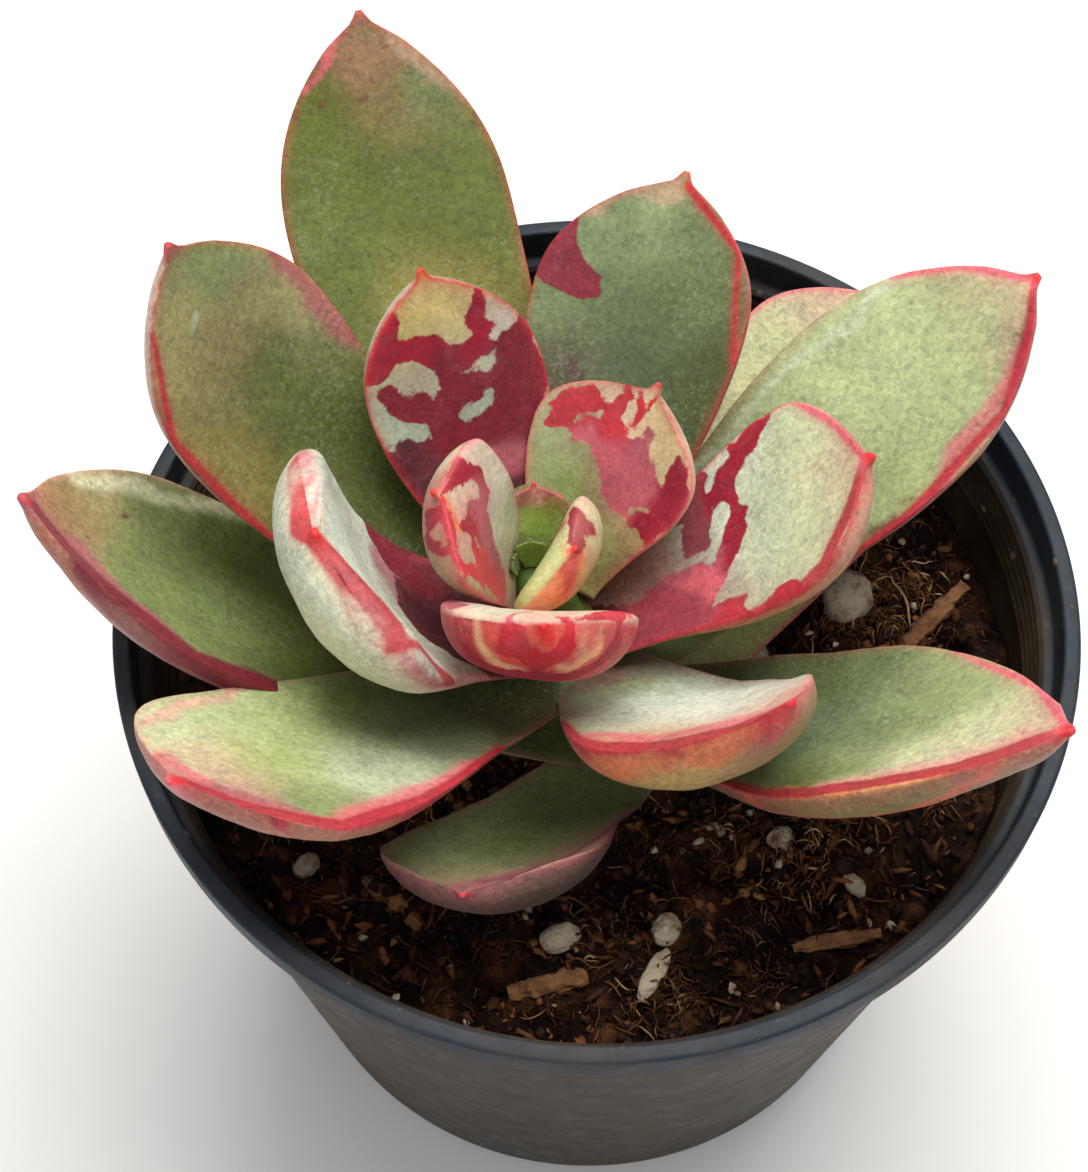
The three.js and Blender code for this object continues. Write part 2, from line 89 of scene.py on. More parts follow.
# Stem: stations of its middle line (x, y, z) and the radius at each, in millimetres
STEM = np.array([
    (6.0, -13.0, 55.0, 4.2),
    (5.0, -11.5, 62.0, 4.2),
    (2.0, -7.5, 68.0, 4.2),
    (-2.0, -4.2, 73.5, 3.8),
    (-5.0, -2.2, 78.5, 3.2),
    (-6.6, -1.2, 82.5, 2.2),
])
# What a leaf has unless its own row says otherwise: degrees, shares and millimetres
LEAF = {
    "offset": 2.5, "roll": 0.0, "sweep": 0.0, "belly": 0.65, "tip": 2.3, "blunt": 0.9, "neck": 0.38,
    "thick": 6.0, "cup": 0.14, "pillow": 0.1, "mucro": 1.6, "slot": "outer_leaf",
}
HEART = "heart_leaf"


def leaf_row(name, height, turn, rise, tip_rise, length, width, **more):
    """One leaf: where its root sits, its compass angle, its slopes at root and tip, and its size."""
    row = dict(LEAF, name=name, height=height, turn=turn, rise=rise, tip_rise=tip_rise)
    row.update(length=length, width=width, **more)
    return row


LEAVES = [
    leaf_row("leaf_bud_left", 83, 170, 76, 84, 3, 2.2, offset=1.4, thick=1.2, mucro=0.5, slot=HEART),
    leaf_row("leaf_bud_right", 83, 95, 66, 80, 4, 3.2, offset=0.9, thick=1.2, mucro=0.6, slot=HEART),
    leaf_row("leaf_heart_back", 82, 90, 50, 68, 8.8, 6.9, thick=3, roll=-6, tip=1.9, mucro=0.9,
             slot=HEART),
    leaf_row("leaf_heart_front", 82.1, 325, 78, 54, 11.8, 13.5, offset=0.5, thick=3.7, roll=-7,
             cup=0.1, pillow=0.44, belly=0.61, mucro=0.9, slot=HEART),
    leaf_row("leaf_heart_left", 80, 174, 82, 52, 21, 15.5, thick=4.5, roll=7, sweep=10,
             belly=0.72, pillow=0.2, slot=HEART),
    leaf_row("leaf_heart_right", 79, 59, 33, 48, 23.5, 19.5, thick=5, roll=9, sweep=-9,
             belly=0.61, cup=0.22, slot=HEART),
    leaf_row("leaf_front_near", 78, 258, 67, 55, 25, 18.5, thick=5.8, roll=6, sweep=22,
             belly=0.62, tip=1.9, cup=0.06, pillow=0.2, slot=HEART),
    leaf_row("leaf_back_mid", 77, 120, 22, 68, 37.5, 18.6, thick=5.5, sweep=-4, belly=0.63,
             tip=2.4, cup=0.11, slot=HEART),
    leaf_row("leaf_left_near", 77, 199, 7, 99, 38, 26.5, thick=4, roll=-14, sweep=-10,
             belly=0.74, tip=2.9, cup=0.24, pillow=1.0),
    leaf_row("leaf_right_mid", 75, 15, 31, 53, 37, 21, thick=5.5, roll=4.5, sweep=-9,
             belly=0.71, tip=2.5, cup=0.16),
    leaf_row("leaf_back_right", 74, 80, 25, 34, 48.5, 23.8, thick=5.5, roll=14, sweep=-12,
             belly=0.68, cup=0.2),
    leaf_row("leaf_right_near", 73, 299, 31, 66, 39.5, 23, roll=22, sweep=30, belly=0.51,
             tip=1.9, cup=0.05),
    leaf_row("leaf_back_left", 72.5, 152, 12, 74, 61.5, 23, thick=5.2, roll=2, sweep=-3.5,
             belly=0.7, tip=2.2, cup=0.06),
    leaf_row("leaf_left_front", 73.5, 217, 15, 48, 52, 26, thick=4.4, roll=-19, sweep=2,
             belly=0.75, tip=2.7, cup=0.05),
    leaf_row("leaf_right_back", 71, 39, 20, 33.5, 59, 24, thick=5.2, roll=5, sweep=-9.5,
             belly=0.61, tip=2.6, cup=0.17),
    leaf_row("leaf_back_tall", 68.5, 123.5, 9, 48.5, 76.5, 23.8, thick=5.5, roll=3, sweep=-23,
             belly=0.69, tip=2.45),
    leaf_row("leaf_right_front", 68, 335, 23, 48, 52, 25.7, thick=5.7, roll=20, belly=0.5,
             tip=1.9, cup=0.13),
    leaf_row("leaf_left", 64.8, 169, 5, 57, 69, 24.7, thick=5.2, roll=-21, sweep=8, belly=0.67,
             tip=2.2, cup=0.18),
    leaf_row("leaf_right_hidden", 65, 59, 4.5, 29, 55.5, 25.8, thick=4.5, roll=-4, sweep=-6,
             belly=0.75, tip=2.7, cup=0.17),
    leaf_row("leaf_front_low", 63.8, 232, 3, 60, 34, 22.3, thick=3.4, roll=-31, sweep=5.7,
             belly=0.74, tip=2.4, cup=0.3),
]

# Perlite grains on the soil: x, y, half length, half width, half height, turn in degrees
PERLITE = [
    (-3.8, -32.4, 2.1, 1.5, 1.3, 20),
    (7.1, -31.1, 1.8, 1.5, 1.3, 70),
    (5.8, -35.8, 3.0, 1.1, 0.9, 60),
    (12.4, -20.3, 1.2, 1.0, 0.9, 0),
    (19.1, -21.1, 1.5, 1.0, 0.9, 35),
    (26.6, -26.1, 1.7, 1.0, 0.9, 120),
    (-6.1, -14.4, 1.8, 1.4, 1.2, 10),
    (28.1, 7.8, 3.4, 2.8, 2.4, 60),
    (17.4, 0.3, 1.7, 1.3, 1.2, 0),
    (-30.0, -24.0, 1.6, 1.2, 1.0, 45),
    (-24.0, 30.0, 1.9, 1.5, 1.2, 80),
]

# Slivers of bark on the soil: one end, the other end, how far that is lifted, radius
BARK = [
    ((33.5, 1.5), (41.0, 8.5), 3.0, 1.0),
    ((-9.0, -38.0), (-1.0, -36.5), 1.4, 1.2),
    ((-18.0, -31.0), (-24.0, -26.0), 1.2, 0.9),
    ((20.0, -33.0), (29.0, -31.5), 1.3, 0.8),
]

# Camera: its look point and distance in millimetres, its height above the horizon in degrees
CAMERA_LOOK = (-5.4, 0.0, 76.0)
CAMERA_DISTANCE = 235.0
CAMERA_ELEVATION = 60.0
CAMERA_LENS = 69.66
CAMERA_SHIFT = 0.009
# Stage: half the floor's width in millimetres, the lamps' width and what they point at in metres
FLOOR_HALF = 1500.0
LAMP_WIDTH = 0.7
LAMP_AIM = (0.0, 0.0, 0.06)


def linear(code):
    """A colour written as six hex digits, in the linear values that Blender's sockets take."""
    share = np.array([int(code[i:i + 2], 16) / 255 for i in (1, 3, 5)])
    low = share / 12.92
    high = ((share + 0.055) / 1.055) ** 2.4
    return tuple(np.where(share <= 0.04045, low, high))


def colour(name, code, description):
    """A colour property with its default written in hex."""
    return FloatVectorProperty(
        name=name, description=description, subtype="COLOR", size=3, min=0.0, max=1.0,
        default=linear(code),
    )


class EcheveriaPot(bpy.types.PropertyGroup):
    """Small sizes and colours of the pot."""
    rib_depth: FloatProperty(
        name="Rib depth", description="How far the rings inside the rim stand out of the wall",
        default=RIB_DEPTH * MM, unit="LENGTH", min=0.0, max=0.001)
    drain_radius: FloatProperty(
        name="Drain hole radius", description="Radius of the drain holes in the base",
        default=DRAIN_RADIUS * MM, unit="LENGTH", min=0.001, max=0.006)
    plastic: colour("Plastic", "#2c251c", "Moulded plastic of the wall and the rim")
    # The rim band is the same plastic: its bluer tint is a painted reflection of the sky
    rim: colour("Rim", "#222c36", "The same plastic on the rim band, cleaner and bluer")
    # Dust also tints the warm film on the wall, which is partly a painted warm reflection
    dust: colour("Dust", "#8a755a", "Dried splashes and dust on the plastic")


class EcheveriaSoil(bpy.types.PropertyGroup):
    """Amounts and colours of the soil."""
    crumbs: IntProperty(name="Crumbs", description="Loose crumbs of peat", default=2600, min=1)
    chips: IntProperty(name="Chips", description="Flat flakes of coir and bark", default=2600, min=1)
    grit: IntProperty(name="Grit", description="Crumbs of perlite", default=70, min=1)
    fibres: IntProperty(name="Fibres", description="Thin fibres of coir", default=2600, min=1)
    tufts: IntProperty(name="Tufts", description="Matted tufts of coir", default=120, min=1)
    straws: IntProperty(name="Straws", description="Pale straws", default=26, min=1)
    peat: colour("Peat", "#352219", "Damp peat")
    coir: colour("Coir", "#74482b", "Coir and its fibres")
    bark: colour("Bark", "#93683f", "Fresh bark")
    straw: colour("Straw", "#b39468", "The palest fibres and dry scraps of leaf")
    perlite: colour("Perlite", "#cdbfa4", "Chalky grains, soiled")


class EcheveriaLeaves(bpy.types.PropertyGroup):
    """Colours of the leaves, shared by their paint."""
    sage: colour("Sage", "#7d8d57", "Body of most outer leaves")
    pale: colour("Pale sage", "#b0bb88", "Lit outer part of the outer leaves")
    lime: colour("Lime", "#bcc57a", "Yellow-green of the freshest skin")
    fern: colour("Fern", "#6a783b", "Dull yellow-green")
    olive: colour("Olive", "#5f6824", "Darker yellow-green of the tall leaf")
    # Moss is painted shade: the darker green where the leaves lie in each other's shade, most at their roots
    moss: colour("Moss", "#4c552c", "Green at the root, where little sun falls")
    slate: colour("Slate", "#637354", "Grey-green with a bluish bloom")
    leafgreen: colour("Leaf green", "#7ba234", "Fresh green of the heart")
    cream: colour("Cream", "#d8d9b2", "Skin without green, in the marbled leaves")
    mint: colour("Mint", "#c8d2be", "Cool pale bloom")
    butter: colour("Butter", "#d9be6c", "Yellow of the undersides")
    tan: colour("Tan", "#ad7c52", "Orange-brown of the undersides")
    orange: colour("Orange", "#db7440", "Orange between yellow and red")
    rose: colour("Rose", "#dca293", "Pale pink of the tips")
    pink: colour("Pink", "#da6672", "Strong pink of the margins")
    mauve: colour("Mauve", "#a9555f", "Dull pink of the marbling")
    red: colour("Red", "#c02a36", "Red line of the margins")
    scarlet: colour("Scarlet", "#e0161e", "Point at the tip")
    crimson: colour("Crimson", "#96102c", "Deep marbling")
    wine: colour("Wine", "#561c27", "Darkest marbling and the skin in shade")
    scar: colour("Scar", "#6b3226", "Old specks")
    bloom: colour("Bloom", "#dde3cd", "Powdery wax that lies on the skin in flecks")


class EcheveriaStage(bpy.types.PropertyGroup):
    """Floor and light of the studio."""
    floor: colour("Floor", "#f1efec", "Plain pale floor")
    key: FloatProperty(name="Key", description="Power of the large lamp", default=10.3, unit="POWER")
    fill: FloatProperty(name="Fill", description="Power of the front lamp", default=2.4, unit="POWER")
    sky: FloatProperty(name="Sky", description="Strength of the even light", default=0.42)


def smooth(x):
    """Smooth step from 0 to 1: 3x^2 - 2x^3 for x held between 0 and 1."""
    x = np.clip(x, 0.0, 1.0)
    return x * x * (3 - 2 * x)


def lattice_noise(points, seed=0):
    """Smooth noise from -1 to 1: random values at whole-numbered places, blended between them."""
    cell = np.floor(points).astype(np.int64)
    part = points - cell
    fade = part * part * (3 - 2 * part)
    total = np.zeros(points.shape[:-1])
    for corner in np.ndindex(2, 2, 2):
        spot = cell + np.array(corner)
        mixed = spot[..., 0] * 73856093 ^ spot[..., 1] * 19349663 ^ spot[..., 2] * 83492791
        mixed = (mixed + seed * 668265263) & 0x7FFFFFFF
        mixed = ((mixed ^ (mixed >> 15)) * 2246822519) & 0x7FFFFFFF
        mixed = ((mixed ^ (mixed >> 13)) * 3266489917) & 0x7FFFFFFF
        value = (mixed ^ (mixed >> 16)) / 0x3FFFFFFF - 1
        weight = np.where(np.array(corner) == 1, fade, 1 - fade).prod(-1)
        total += value * weight
    return total


def layered_noise(points, layers=3, seed=0):
    """Sum of lattice noise, each layer twice as fine and half as strong as the one before."""
    total = np.zeros(points.shape[:-1])
    for layer in range(layers):
        total += lattice_noise(points * 2 ** layer + 7.3 * layer, seed + layer) / 2 ** layer
    return total


def circle(count):
    """Angles evenly apart, once round."""
    return np.linspace(0, 2 * np.pi, count + 1)[:-1]


def ring_faces(rings, around):
    """Quads between rings of points laid one after another, each ring closed on itself."""
    r, k = np.meshgrid(np.arange(rings - 1), np.arange(around), indexing="ij")
    a = r * around + k
    b = r * around + (k + 1) % around
    return np.stack([a, b, b + around, a + around], -1).reshape(-1, 4)


def closed_tube(rings):
    """Points, quads and triangles of a closed skin over rings (count, around, 3), capped by fans."""
    count, around = rings.shape[:2]
    points = np.concatenate([rings.reshape(-1, 3), rings[:1].mean(1), rings[-1:].mean(1)])
    k = np.arange(around)
    following = (k + 1) % around
    last = (count - 1) * around
    start = np.stack([np.full(around, count * around), following, k], -1)
    end = np.stack([np.full(around, count * around + 1), last + k, last + following], -1)
    return points, ring_faces(count, around), np.concatenate([start, end])


def make_mesh(name, points, quads, triangles):
    """A smooth mesh object from points in millimetres and arrays of quads and triangles."""
    mesh = bpy.data.meshes.new(name)
    corners = np.concatenate([np.ravel(quads), np.ravel(triangles)]).astype(np.int32)
    sizes = np.concatenate([np.full(len(quads), 4), np.full(len(triangles), 3)])
    mesh.vertices.add(len(points))
    mesh.vertices.foreach_set("co", (points * MM).astype(np.float32).ravel())
    mesh.loops.add(len(corners))
    mesh.loops.foreach_set("vertex_index", corners)
    mesh.polygons.add(len(sizes))
    mesh.polygons.foreach_set("loop_start", (np.cumsum(sizes) - sizes).astype(np.int32))
    mesh.polygons.foreach_set("use_smooth", np.ones(len(sizes), bool))
    mesh.update(calc_edges=True)
    if mesh.validate():
        raise RuntimeError(f"{name} has faces that don't hold together")
    piece = bpy.data.objects.new(name, mesh)
    bpy.context.scene.collection.objects.link(piece)
    return piece


def repeated_mesh(name, points, quads, triangles):
    """One mesh of many copies: their points (copies, count, 3) and the faces of the first."""
    copies, count = points.shape[:2]
    shift = (np.arange(copies) * count)[:, None, None]
    faces = [(one[None] + shift).reshape(-1, one.shape[1]) for one in (quads, triangles)]
    return make_mesh(name, points.reshape(-1, 3), *faces)


def set_values(piece, name, values):
    """Gives the piece one number at each point, for its material to read."""
    attribute = piece.data.attributes.new(name, "FLOAT", "POINT")
    attribute.data.foreach_set("value", np.asarray(values, np.float32).ravel())


def set_colours(piece, name, colours):
    """Gives the piece one colour at each point, for its material to read."""
    solid = np.concatenate([colours, np.ones(colours.shape[:-1] + (1,))], -1)
    attribute = piece.data.attributes.new(name, "FLOAT_COLOR", "POINT")
    attribute.data.foreach_set("color", solid.astype(np.float32).ravel())


def finish_piece(piece, material, slot, *nodes):
    """The piece gets its material, moves with the part and stands for the CAD nodes named."""
    piece.data.materials.append(material)
    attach(piece, BODY)
    if nodes:
        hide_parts(*nodes)


class Graph:
    """A node tree being built: each call adds a node, feeds its inputs and gives back what it puts out."""

    def __init__(self, tree):
        self.tree = tree

    def feed(self, socket, value):
        """Joins a socket to another node's output, or sets it. A plain colour is made opaque."""
        if isinstance(value, bpy.types.NodeSocket):
            self.tree.links.new(value, socket)
        elif socket.type == "RGBA":
            socket.default_value = (*value, 1.0)
        else:
            socket.default_value = value

    def node(self, kind, inputs=None, **settings):
        """A node of any kind, with its settings by name and its inputs by name or number."""
        made = self.tree.nodes.new(kind)
        for key, value in settings.items():
            setattr(made, key, value)
        for key, value in (inputs or {}).items():
            self.feed(made.inputs[key], value)
        return made

    def math(self, operation, *values, clamp=False):
        """One sum on one to three values."""
        inputs = dict(enumerate(values))
        return self.node("ShaderNodeMath", inputs, operation=operation, use_clamp=clamp).outputs[0]

    def mix(self, share, first, second):
        """A share of the second colour over the first."""
        inputs = {0: share, 6: first, 7: second}
        return self.node("ShaderNodeMix", inputs, data_type="RGBA").outputs[2]

    def scaled(self, colour, gain):
        """A colour made darker or lighter by a gain."""
        return self.node("ShaderNodeVectorMath", {0: colour, "Scale": gain}, operation="SCALE").outputs[0]

    def noise(self, vector, scale, detail=3.0, roughness=0.55, distortion=0.0):
        """Cloudy noise from 0 to 1, with scale lumps to a metre."""
        inputs = {"Vector": vector, "Scale": scale, "Detail": detail}
        inputs.update({"Roughness": roughness, "Distortion": distortion})
        return self.node("ShaderNodeTexNoise", inputs).outputs["Fac"]

    def step(self, value, low, high, new_low=0.0, new_high=1.0):
        """Smooth step of a value from low to high."""
        inputs = {"Value": value, "From Min": low, "From Max": high}
        inputs.update({"To Min": new_low, "To Max": new_high})
        made = self.node("ShaderNodeMapRange", inputs, interpolation_type="SMOOTHSTEP")
        return made.outputs["Result"]

    def attribute(self, name, output="Fac"):
        """What the piece's points hold under a name."""
        return self.node("ShaderNodeAttribute", attribute_name=name).outputs[output]

    def group(self, tree, **inputs):
        """The outputs of a node group whose inputs are given by name, with _ for a space."""
        named = {key.replace("_", " "): value for key, value in inputs.items()}
        return self.node("ShaderNodeGroup", named, node_tree=tree).outputs


def new_group(name, inputs, outputs):
    """An empty node group with its sockets named, and the nodes that stand for its two ends."""
    tree = bpy.data.node_groups.new(name, "ShaderNodeTree")
    kinds = {"colour": "NodeSocketColor", "value": "NodeSocketFloat", "vector": "NodeSocketVector"}
    for label, kind in inputs.items():
        tree.interface.new_socket(label, in_out="INPUT", socket_type=kinds[kind])
    for label, kind in outputs.items():
        tree.interface.new_socket(label, in_out="OUTPUT", socket_type=kinds[kind])
    graph = Graph(tree)
    return graph, graph.node("NodeGroupInput").outputs, graph.node("NodeGroupOutput").inputs


def ready_group(name, build):
    """The node group of that name, built the first time that it is asked for."""
    return bpy.data.node_groups.get(name) or build(name)


def mottle_group(name):
    """Fine worm-like mottling: noise bent by coarser noise makes a colour lighter and darker."""
    graph, given, result = new_group(
        name,
        {"Vector": "vector", "Color": "colour", "Grain": "value", "Amount": "value"},
        {"Color": "colour", "Height": "value"},
    )
    fine = graph.noise(given["Vector"], given["Grain"], 2.0, 0.6, 1.2)
    broad_scale = graph.math("MULTIPLY", given["Grain"], 0.16)
    broad = graph.noise(given["Vector"], broad_scale, 2.0, 0.5)
    pattern = graph.math("ADD", fine, graph.math("MULTIPLY", broad, 0.6))
    centred = graph.math("SUBTRACT", pattern, 0.8)
    gain = graph.math("MULTIPLY_ADD", centred, given["Amount"], 1.0)
    graph.feed(result["Color"], graph.scaled(given["Color"], gain))
    graph.feed(result["Height"], fine)
    return graph.tree


def mottled(graph, place, base, grain, amount):
    """A base colour put through the mottle group, and the group's height."""
    mottle = ready_group("mottle", mottle_group)
    return graph.group(mottle, Vector=place, Color=base, Grain=grain, Amount=amount)


def waxy_group(name):
    """Waxy skin: a tone made uneven by fine flecks and soft clouds, with powdery bloom in drifts."""
    graph, given, result = new_group(
        name,
        {"Vector": "vector", "Color": "colour", "Bloom": "colour", "Fleck": "value", "Frost": "value"},
        {"Color": "colour", "Height": "value"},
    )
    fine = graph.noise(given["Vector"], 1500.0, 3.0, 0.7, 0.7)
    cloud = graph.noise(given["Vector"], 230.0, 4.0, 0.62, 0.5)
    flecked = graph.math("MULTIPLY_ADD", graph.math("SUBTRACT", fine, 0.5), given["Fleck"], 1.0)
    clouded = graph.math("MULTIPLY_ADD", graph.math("SUBTRACT", cloud, 0.5), 0.7, flecked)
    powder = graph.step(graph.noise(given["Vector"], 1900.0, 3.0, 0.7, 0.6), 0.48, 0.7)
    drift = graph.step(graph.noise(given["Vector"], 130.0, 3.0), 0.4, 0.64, 0.3, 1.0)
    share = graph.math("MULTIPLY", graph.math("MULTIPLY", powder, drift), given["Frost"])
    uneven = graph.scaled(given["Color"], clouded)
    graph.feed(result["Color"], graph.mix(share, uneven, given["Bloom"]))
    graph.feed(result["Height"], fine)
    return graph.tree


def patch_group(name):
    """A jagged patch: a distance in millimetres, wandering with noise, becomes a mask with a narrow edge."""
    graph, given, result = new_group(
        name,
        {"Vector": "vector", "Distance": "value", "Wander": "value", "Scale": "value", "Soft": "value"},
        {"Mask": "value"},
    )
    ragged = graph.noise(given["Vector"], given["Scale"], 6.0, 0.66, 0.7)
    shifted = graph.math("SUBTRACT", ragged, 0.5)
    moved = graph.math("MULTIPLY_ADD", shifted, given["Wander"], given["Distance"])
    low = graph.math("MULTIPLY", given["Soft"], -1.0)
    graph.feed(result["Mask"], graph.step(moved, low, given["Soft"]))
    return graph.tree


def speck_group(name):
    """Scattered specks: round cells whose random value is low become a mask of small dots."""
    graph, given, result = new_group(
        name,
        {"Vector": "vector", "Scale": "value", "Share": "value", "Size": "value"},
        {"Mask": "value"},
    )
    cells = graph.node("ShaderNodeTexVoronoi", {"Vector": given["Vector"], "Scale": given["Scale"]})
    parted = graph.node("ShaderNodeSeparateColor", {"Color": cells.outputs["Color"]})
    chosen = graph.math("LESS_THAN", parted.outputs[0], given["Share"])
    reach = graph.math("MULTIPLY", given["Size"], parted.outputs[1])
    inner = graph.math("MULTIPLY", reach, 0.5)
    dot = graph.step(cells.outputs["Distance"], inner, reach, 1.0, 0.0)
    graph.feed(result["Mask"], graph.math("MULTIPLY", dot, chosen))
    return graph.tree


def new_material(name):
    """A material with an empty node tree but its shader, and the places on the object in metres."""
    material = bpy.data.materials.new(name)
    material.use_nodes = True
    material.node_tree.nodes.clear()
    graph = Graph(material.node_tree)
    shader = graph.node("ShaderNodeBsdfPrincipled")
    output = graph.node("ShaderNodeOutputMaterial")
    graph.feed(output.inputs["Surface"], shader.outputs[0])
    place = graph.node("ShaderNodeTexCoord").outputs["Object"]
    return material, graph, shader, place


def set_shader(graph, shader, **sockets):
    """Joins or sets the shader's sockets, whose names have _ for a space."""
    for key, value in sockets.items():
        graph.feed(shader.inputs[key.replace("_", " ")], value)


def bump(graph, height, distance, strength=1.0):
    """A normal bent by a height, which is a share of the distance in metres."""
    made = graph.node("ShaderNodeBump", {"Height": height, "Distance": distance, "Strength": strength})
    return made.outputs["Normal"]


def leaf_material(name, fleck, wander, ragged, gloss):
    """Leaf skin: painted tone, swirled marbling, a margin with a soft halo, specks and waxy bloom."""
    material, graph, shader, place = new_material(name)
    tones = bpy.context.scene.echeveria_leaves
    patch = ready_group("patch", patch_group)
    speck = ready_group("speck", speck_group)
    swirl = graph.step(graph.noise(place, 190.0, 5.0, 0.68, 1.3), 0.46, 0.68)
    flushed = graph.mix(graph.math("MULTIPLY", swirl, 0.22), graph.attribute("flush_tone", "Color"),
                        tuple(tones.mauve))
    inside = graph.group(patch, Vector=place, Distance=graph.attribute("flush"),
                         Wander=wander, Scale=ragged, Soft=0.16)
    marbled = graph.mix(inside["Mask"], graph.attribute("tone", "Color"), flushed)
    rim = graph.attribute("rim")
    rim_tone = graph.attribute("rim_tone", "Color")
    halo = graph.group(patch, Vector=place, Distance=graph.math("ADD", rim, 0.5),
                       Wander=1.4, Scale=900.0, Soft=0.9)
    margin = graph.group(patch, Vector=place, Distance=rim, Wander=0.5, Scale=420.0, Soft=0.3)
    tinged = graph.mix(graph.math("MULTIPLY", halo["Mask"], 0.3), marbled, rim_tone)
    lined = graph.mix(graph.math("MULTIPLY", margin["Mask"], 0.92), tinged, rim_tone)
    worn = graph.group(speck, Vector=place, Scale=420.0, Share=0.045, Size=0.22)
    scarred = graph.group(patch, Vector=place, Distance=graph.attribute("scar"),
                          Wander=1.2, Scale=900.0, Soft=0.35)
    marks = graph.math("MAXIMUM", scarred["Mask"], graph.math("MULTIPLY", worn["Mask"], 0.45))
    marked = graph.mix(graph.math("MULTIPLY", marks, 0.8), lined, tuple(tones.scar))
    reddened = graph.math("MAXIMUM", inside["Mask"], margin["Mask"])
    frost = graph.math("MULTIPLY_ADD", reddened, -0.12, 0.16)
    waxy = graph.group(ready_group("waxy skin", waxy_group), Vector=place, Color=marked,
                       Bloom=tuple(tones.bloom), Fleck=fleck, Frost=frost)
    bloom = graph.noise(place, 120.0, 3.0)
    rough = graph.step(bloom, 0.3, 0.7, gloss, gloss + 0.16)
    broad = graph.noise(place, 420.0, 3.0)
    height = graph.math("MULTIPLY_ADD", broad, 1.6, waxy["Height"])
    set_shader(graph, shader, Base_Color=waxy["Color"], Roughness=rough,
               Normal=bump(graph, height, 0.00012, 0.6))
    set_shader(graph, shader, Subsurface_Weight=0.16, Subsurface_Scale=0.0018,
               Subsurface_Radius=(1.0, 0.55, 0.3), Sheen_Weight=0.06, Sheen_Roughness=0.5,
               Specular_IOR_Level=0.4)
    return material


def stem_curve(share):
    """Points and radii along the stem, by a centripetal Catmull-Rom curve through its stations.

    Between two stations the curve is a cubic. Its end slopes come from the neighbouring
    stations, weighed by the square roots of the distances between them.
    """
    points = STEM[:, :3]
    padded = np.concatenate([2 * points[:1] - points[1:2], points, 2 * points[-1:] - points[-2:-1]])
    along = np.clip(share, 0, 1) * (len(points) - 1)
    k = np.minimum(along.astype(int), len(points) - 2)
    w = (along - k)[..., None]
    p0, p1, p2, p3 = (padded[k + i] for i in range(4))
    d0, d1, d2 = (np.sqrt(np.linalg.norm(b - a, axis=-1, keepdims=True))
                  for a, b in ((p0, p1), (p1, p2), (p2, p3)))
    out_slope = ((p1 - p0) / d0 - (p2 - p0) / (d0 + d1) + (p2 - p1) / d1) * d1
    in_slope = ((p2 - p1) / d1 - (p3 - p1) / (d1 + d2) + (p3 - p2) / d2) * d1
    square = 3 * (p2 - p1) - 2 * out_slope - in_slope
    cube = 2 * (p1 - p2) + out_slope + in_slope
    centre = p1 + w * (out_slope + w * (square + w * cube))
    return centre, np.interp(centre[..., 2], STEM[:, 2], STEM[:, 3])


def stem_point(height):
    """The place on the stem's middle line at that height."""
    line = stem_curve(np.linspace(0, 1, 401))[0]
    return np.array([np.interp(height, line[:, 2], line[:, axis]) for axis in range(3)])


def leaf_outline(leaf, t):
    """Half width of a leaf at t from root 0 to tip 1, as a share of its greatest half width.

    Up to the belly it grows by a smooth step from the neck. Past it, it falls as a power curve
    to the point, and a slim spike is joined to that for the point itself.
    """
    point_start = 1 - leaf["mucro"] / leaf["length"]
    towards = np.clip((t - leaf["belly"]) / (point_start - leaf["belly"]), 0, 1)
    tip_part = (1 - towards ** leaf["tip"]) ** leaf["blunt"]
    grown = smooth(np.minimum(1, t / leaf["belly"]) ** 0.85)
    root_part = leaf["neck"] + (1 - leaf["neck"]) * grown
    spike = 0.2 * np.clip((1 - t) * leaf["length"] / (2.5 * leaf["mucro"]), 0, 1)
    return np.hypot(np.where(t < leaf["belly"], root_part, tip_part), spike)


def leaf_spine(leaf, t):
    """Middle line of a leaf at rising values t, and at each the directions to its right and up.

    The slope runs from rise to tip_rise and the compass angle turns by sweep, both evenly with t.
    The line is the running sum of those directions. The cross direction is tilted by roll.
    """
    def direction(s):
        slope = np.radians(leaf["rise"] + (leaf["tip_rise"] - leaf["rise"]) * s)
        compass = np.radians(leaf["turn"] + leaf["sweep"] * s)
        level = np.cos(slope)
        return np.stack([level * np.cos(compass), level * np.sin(compass), np.sin(slope)], -1)

    turn = math.radians(leaf["turn"])
    root = stem_point(leaf["height"]) + leaf["offset"] * np.array([math.cos(turn), math.sin(turn), 0])
    steps = direction((t[1:] + t[:-1]) / 2) * (np.diff(t) * leaf["length"])[:, None]
    start = root + direction(t[:1] / 2) * t[0] * leaf["length"]
    centre = np.concatenate([start, start + np.cumsum(steps, 0)])
    compass = np.radians(leaf["turn"] + leaf["sweep"] * t)
    level_side = np.stack([np.sin(compass), -np.cos(compass), 0 * t], -1)
    level_up = np.cross(level_side, direction(t))
    tilt = (math.radians(leaf["roll"]) * smooth(t / 0.35))[:, None]
    side = np.cos(tilt) * level_side + np.sin(tilt) * level_up
    up = np.cos(tilt) * level_up - np.sin(tilt) * level_side
    return centre, side, up


def hanging(v):
    """Section of a leaf's lower face: the root of 1 - |v|^2.5."""
    return np.sqrt(np.clip(1 - np.abs(v) ** 2.5, 0, 1))


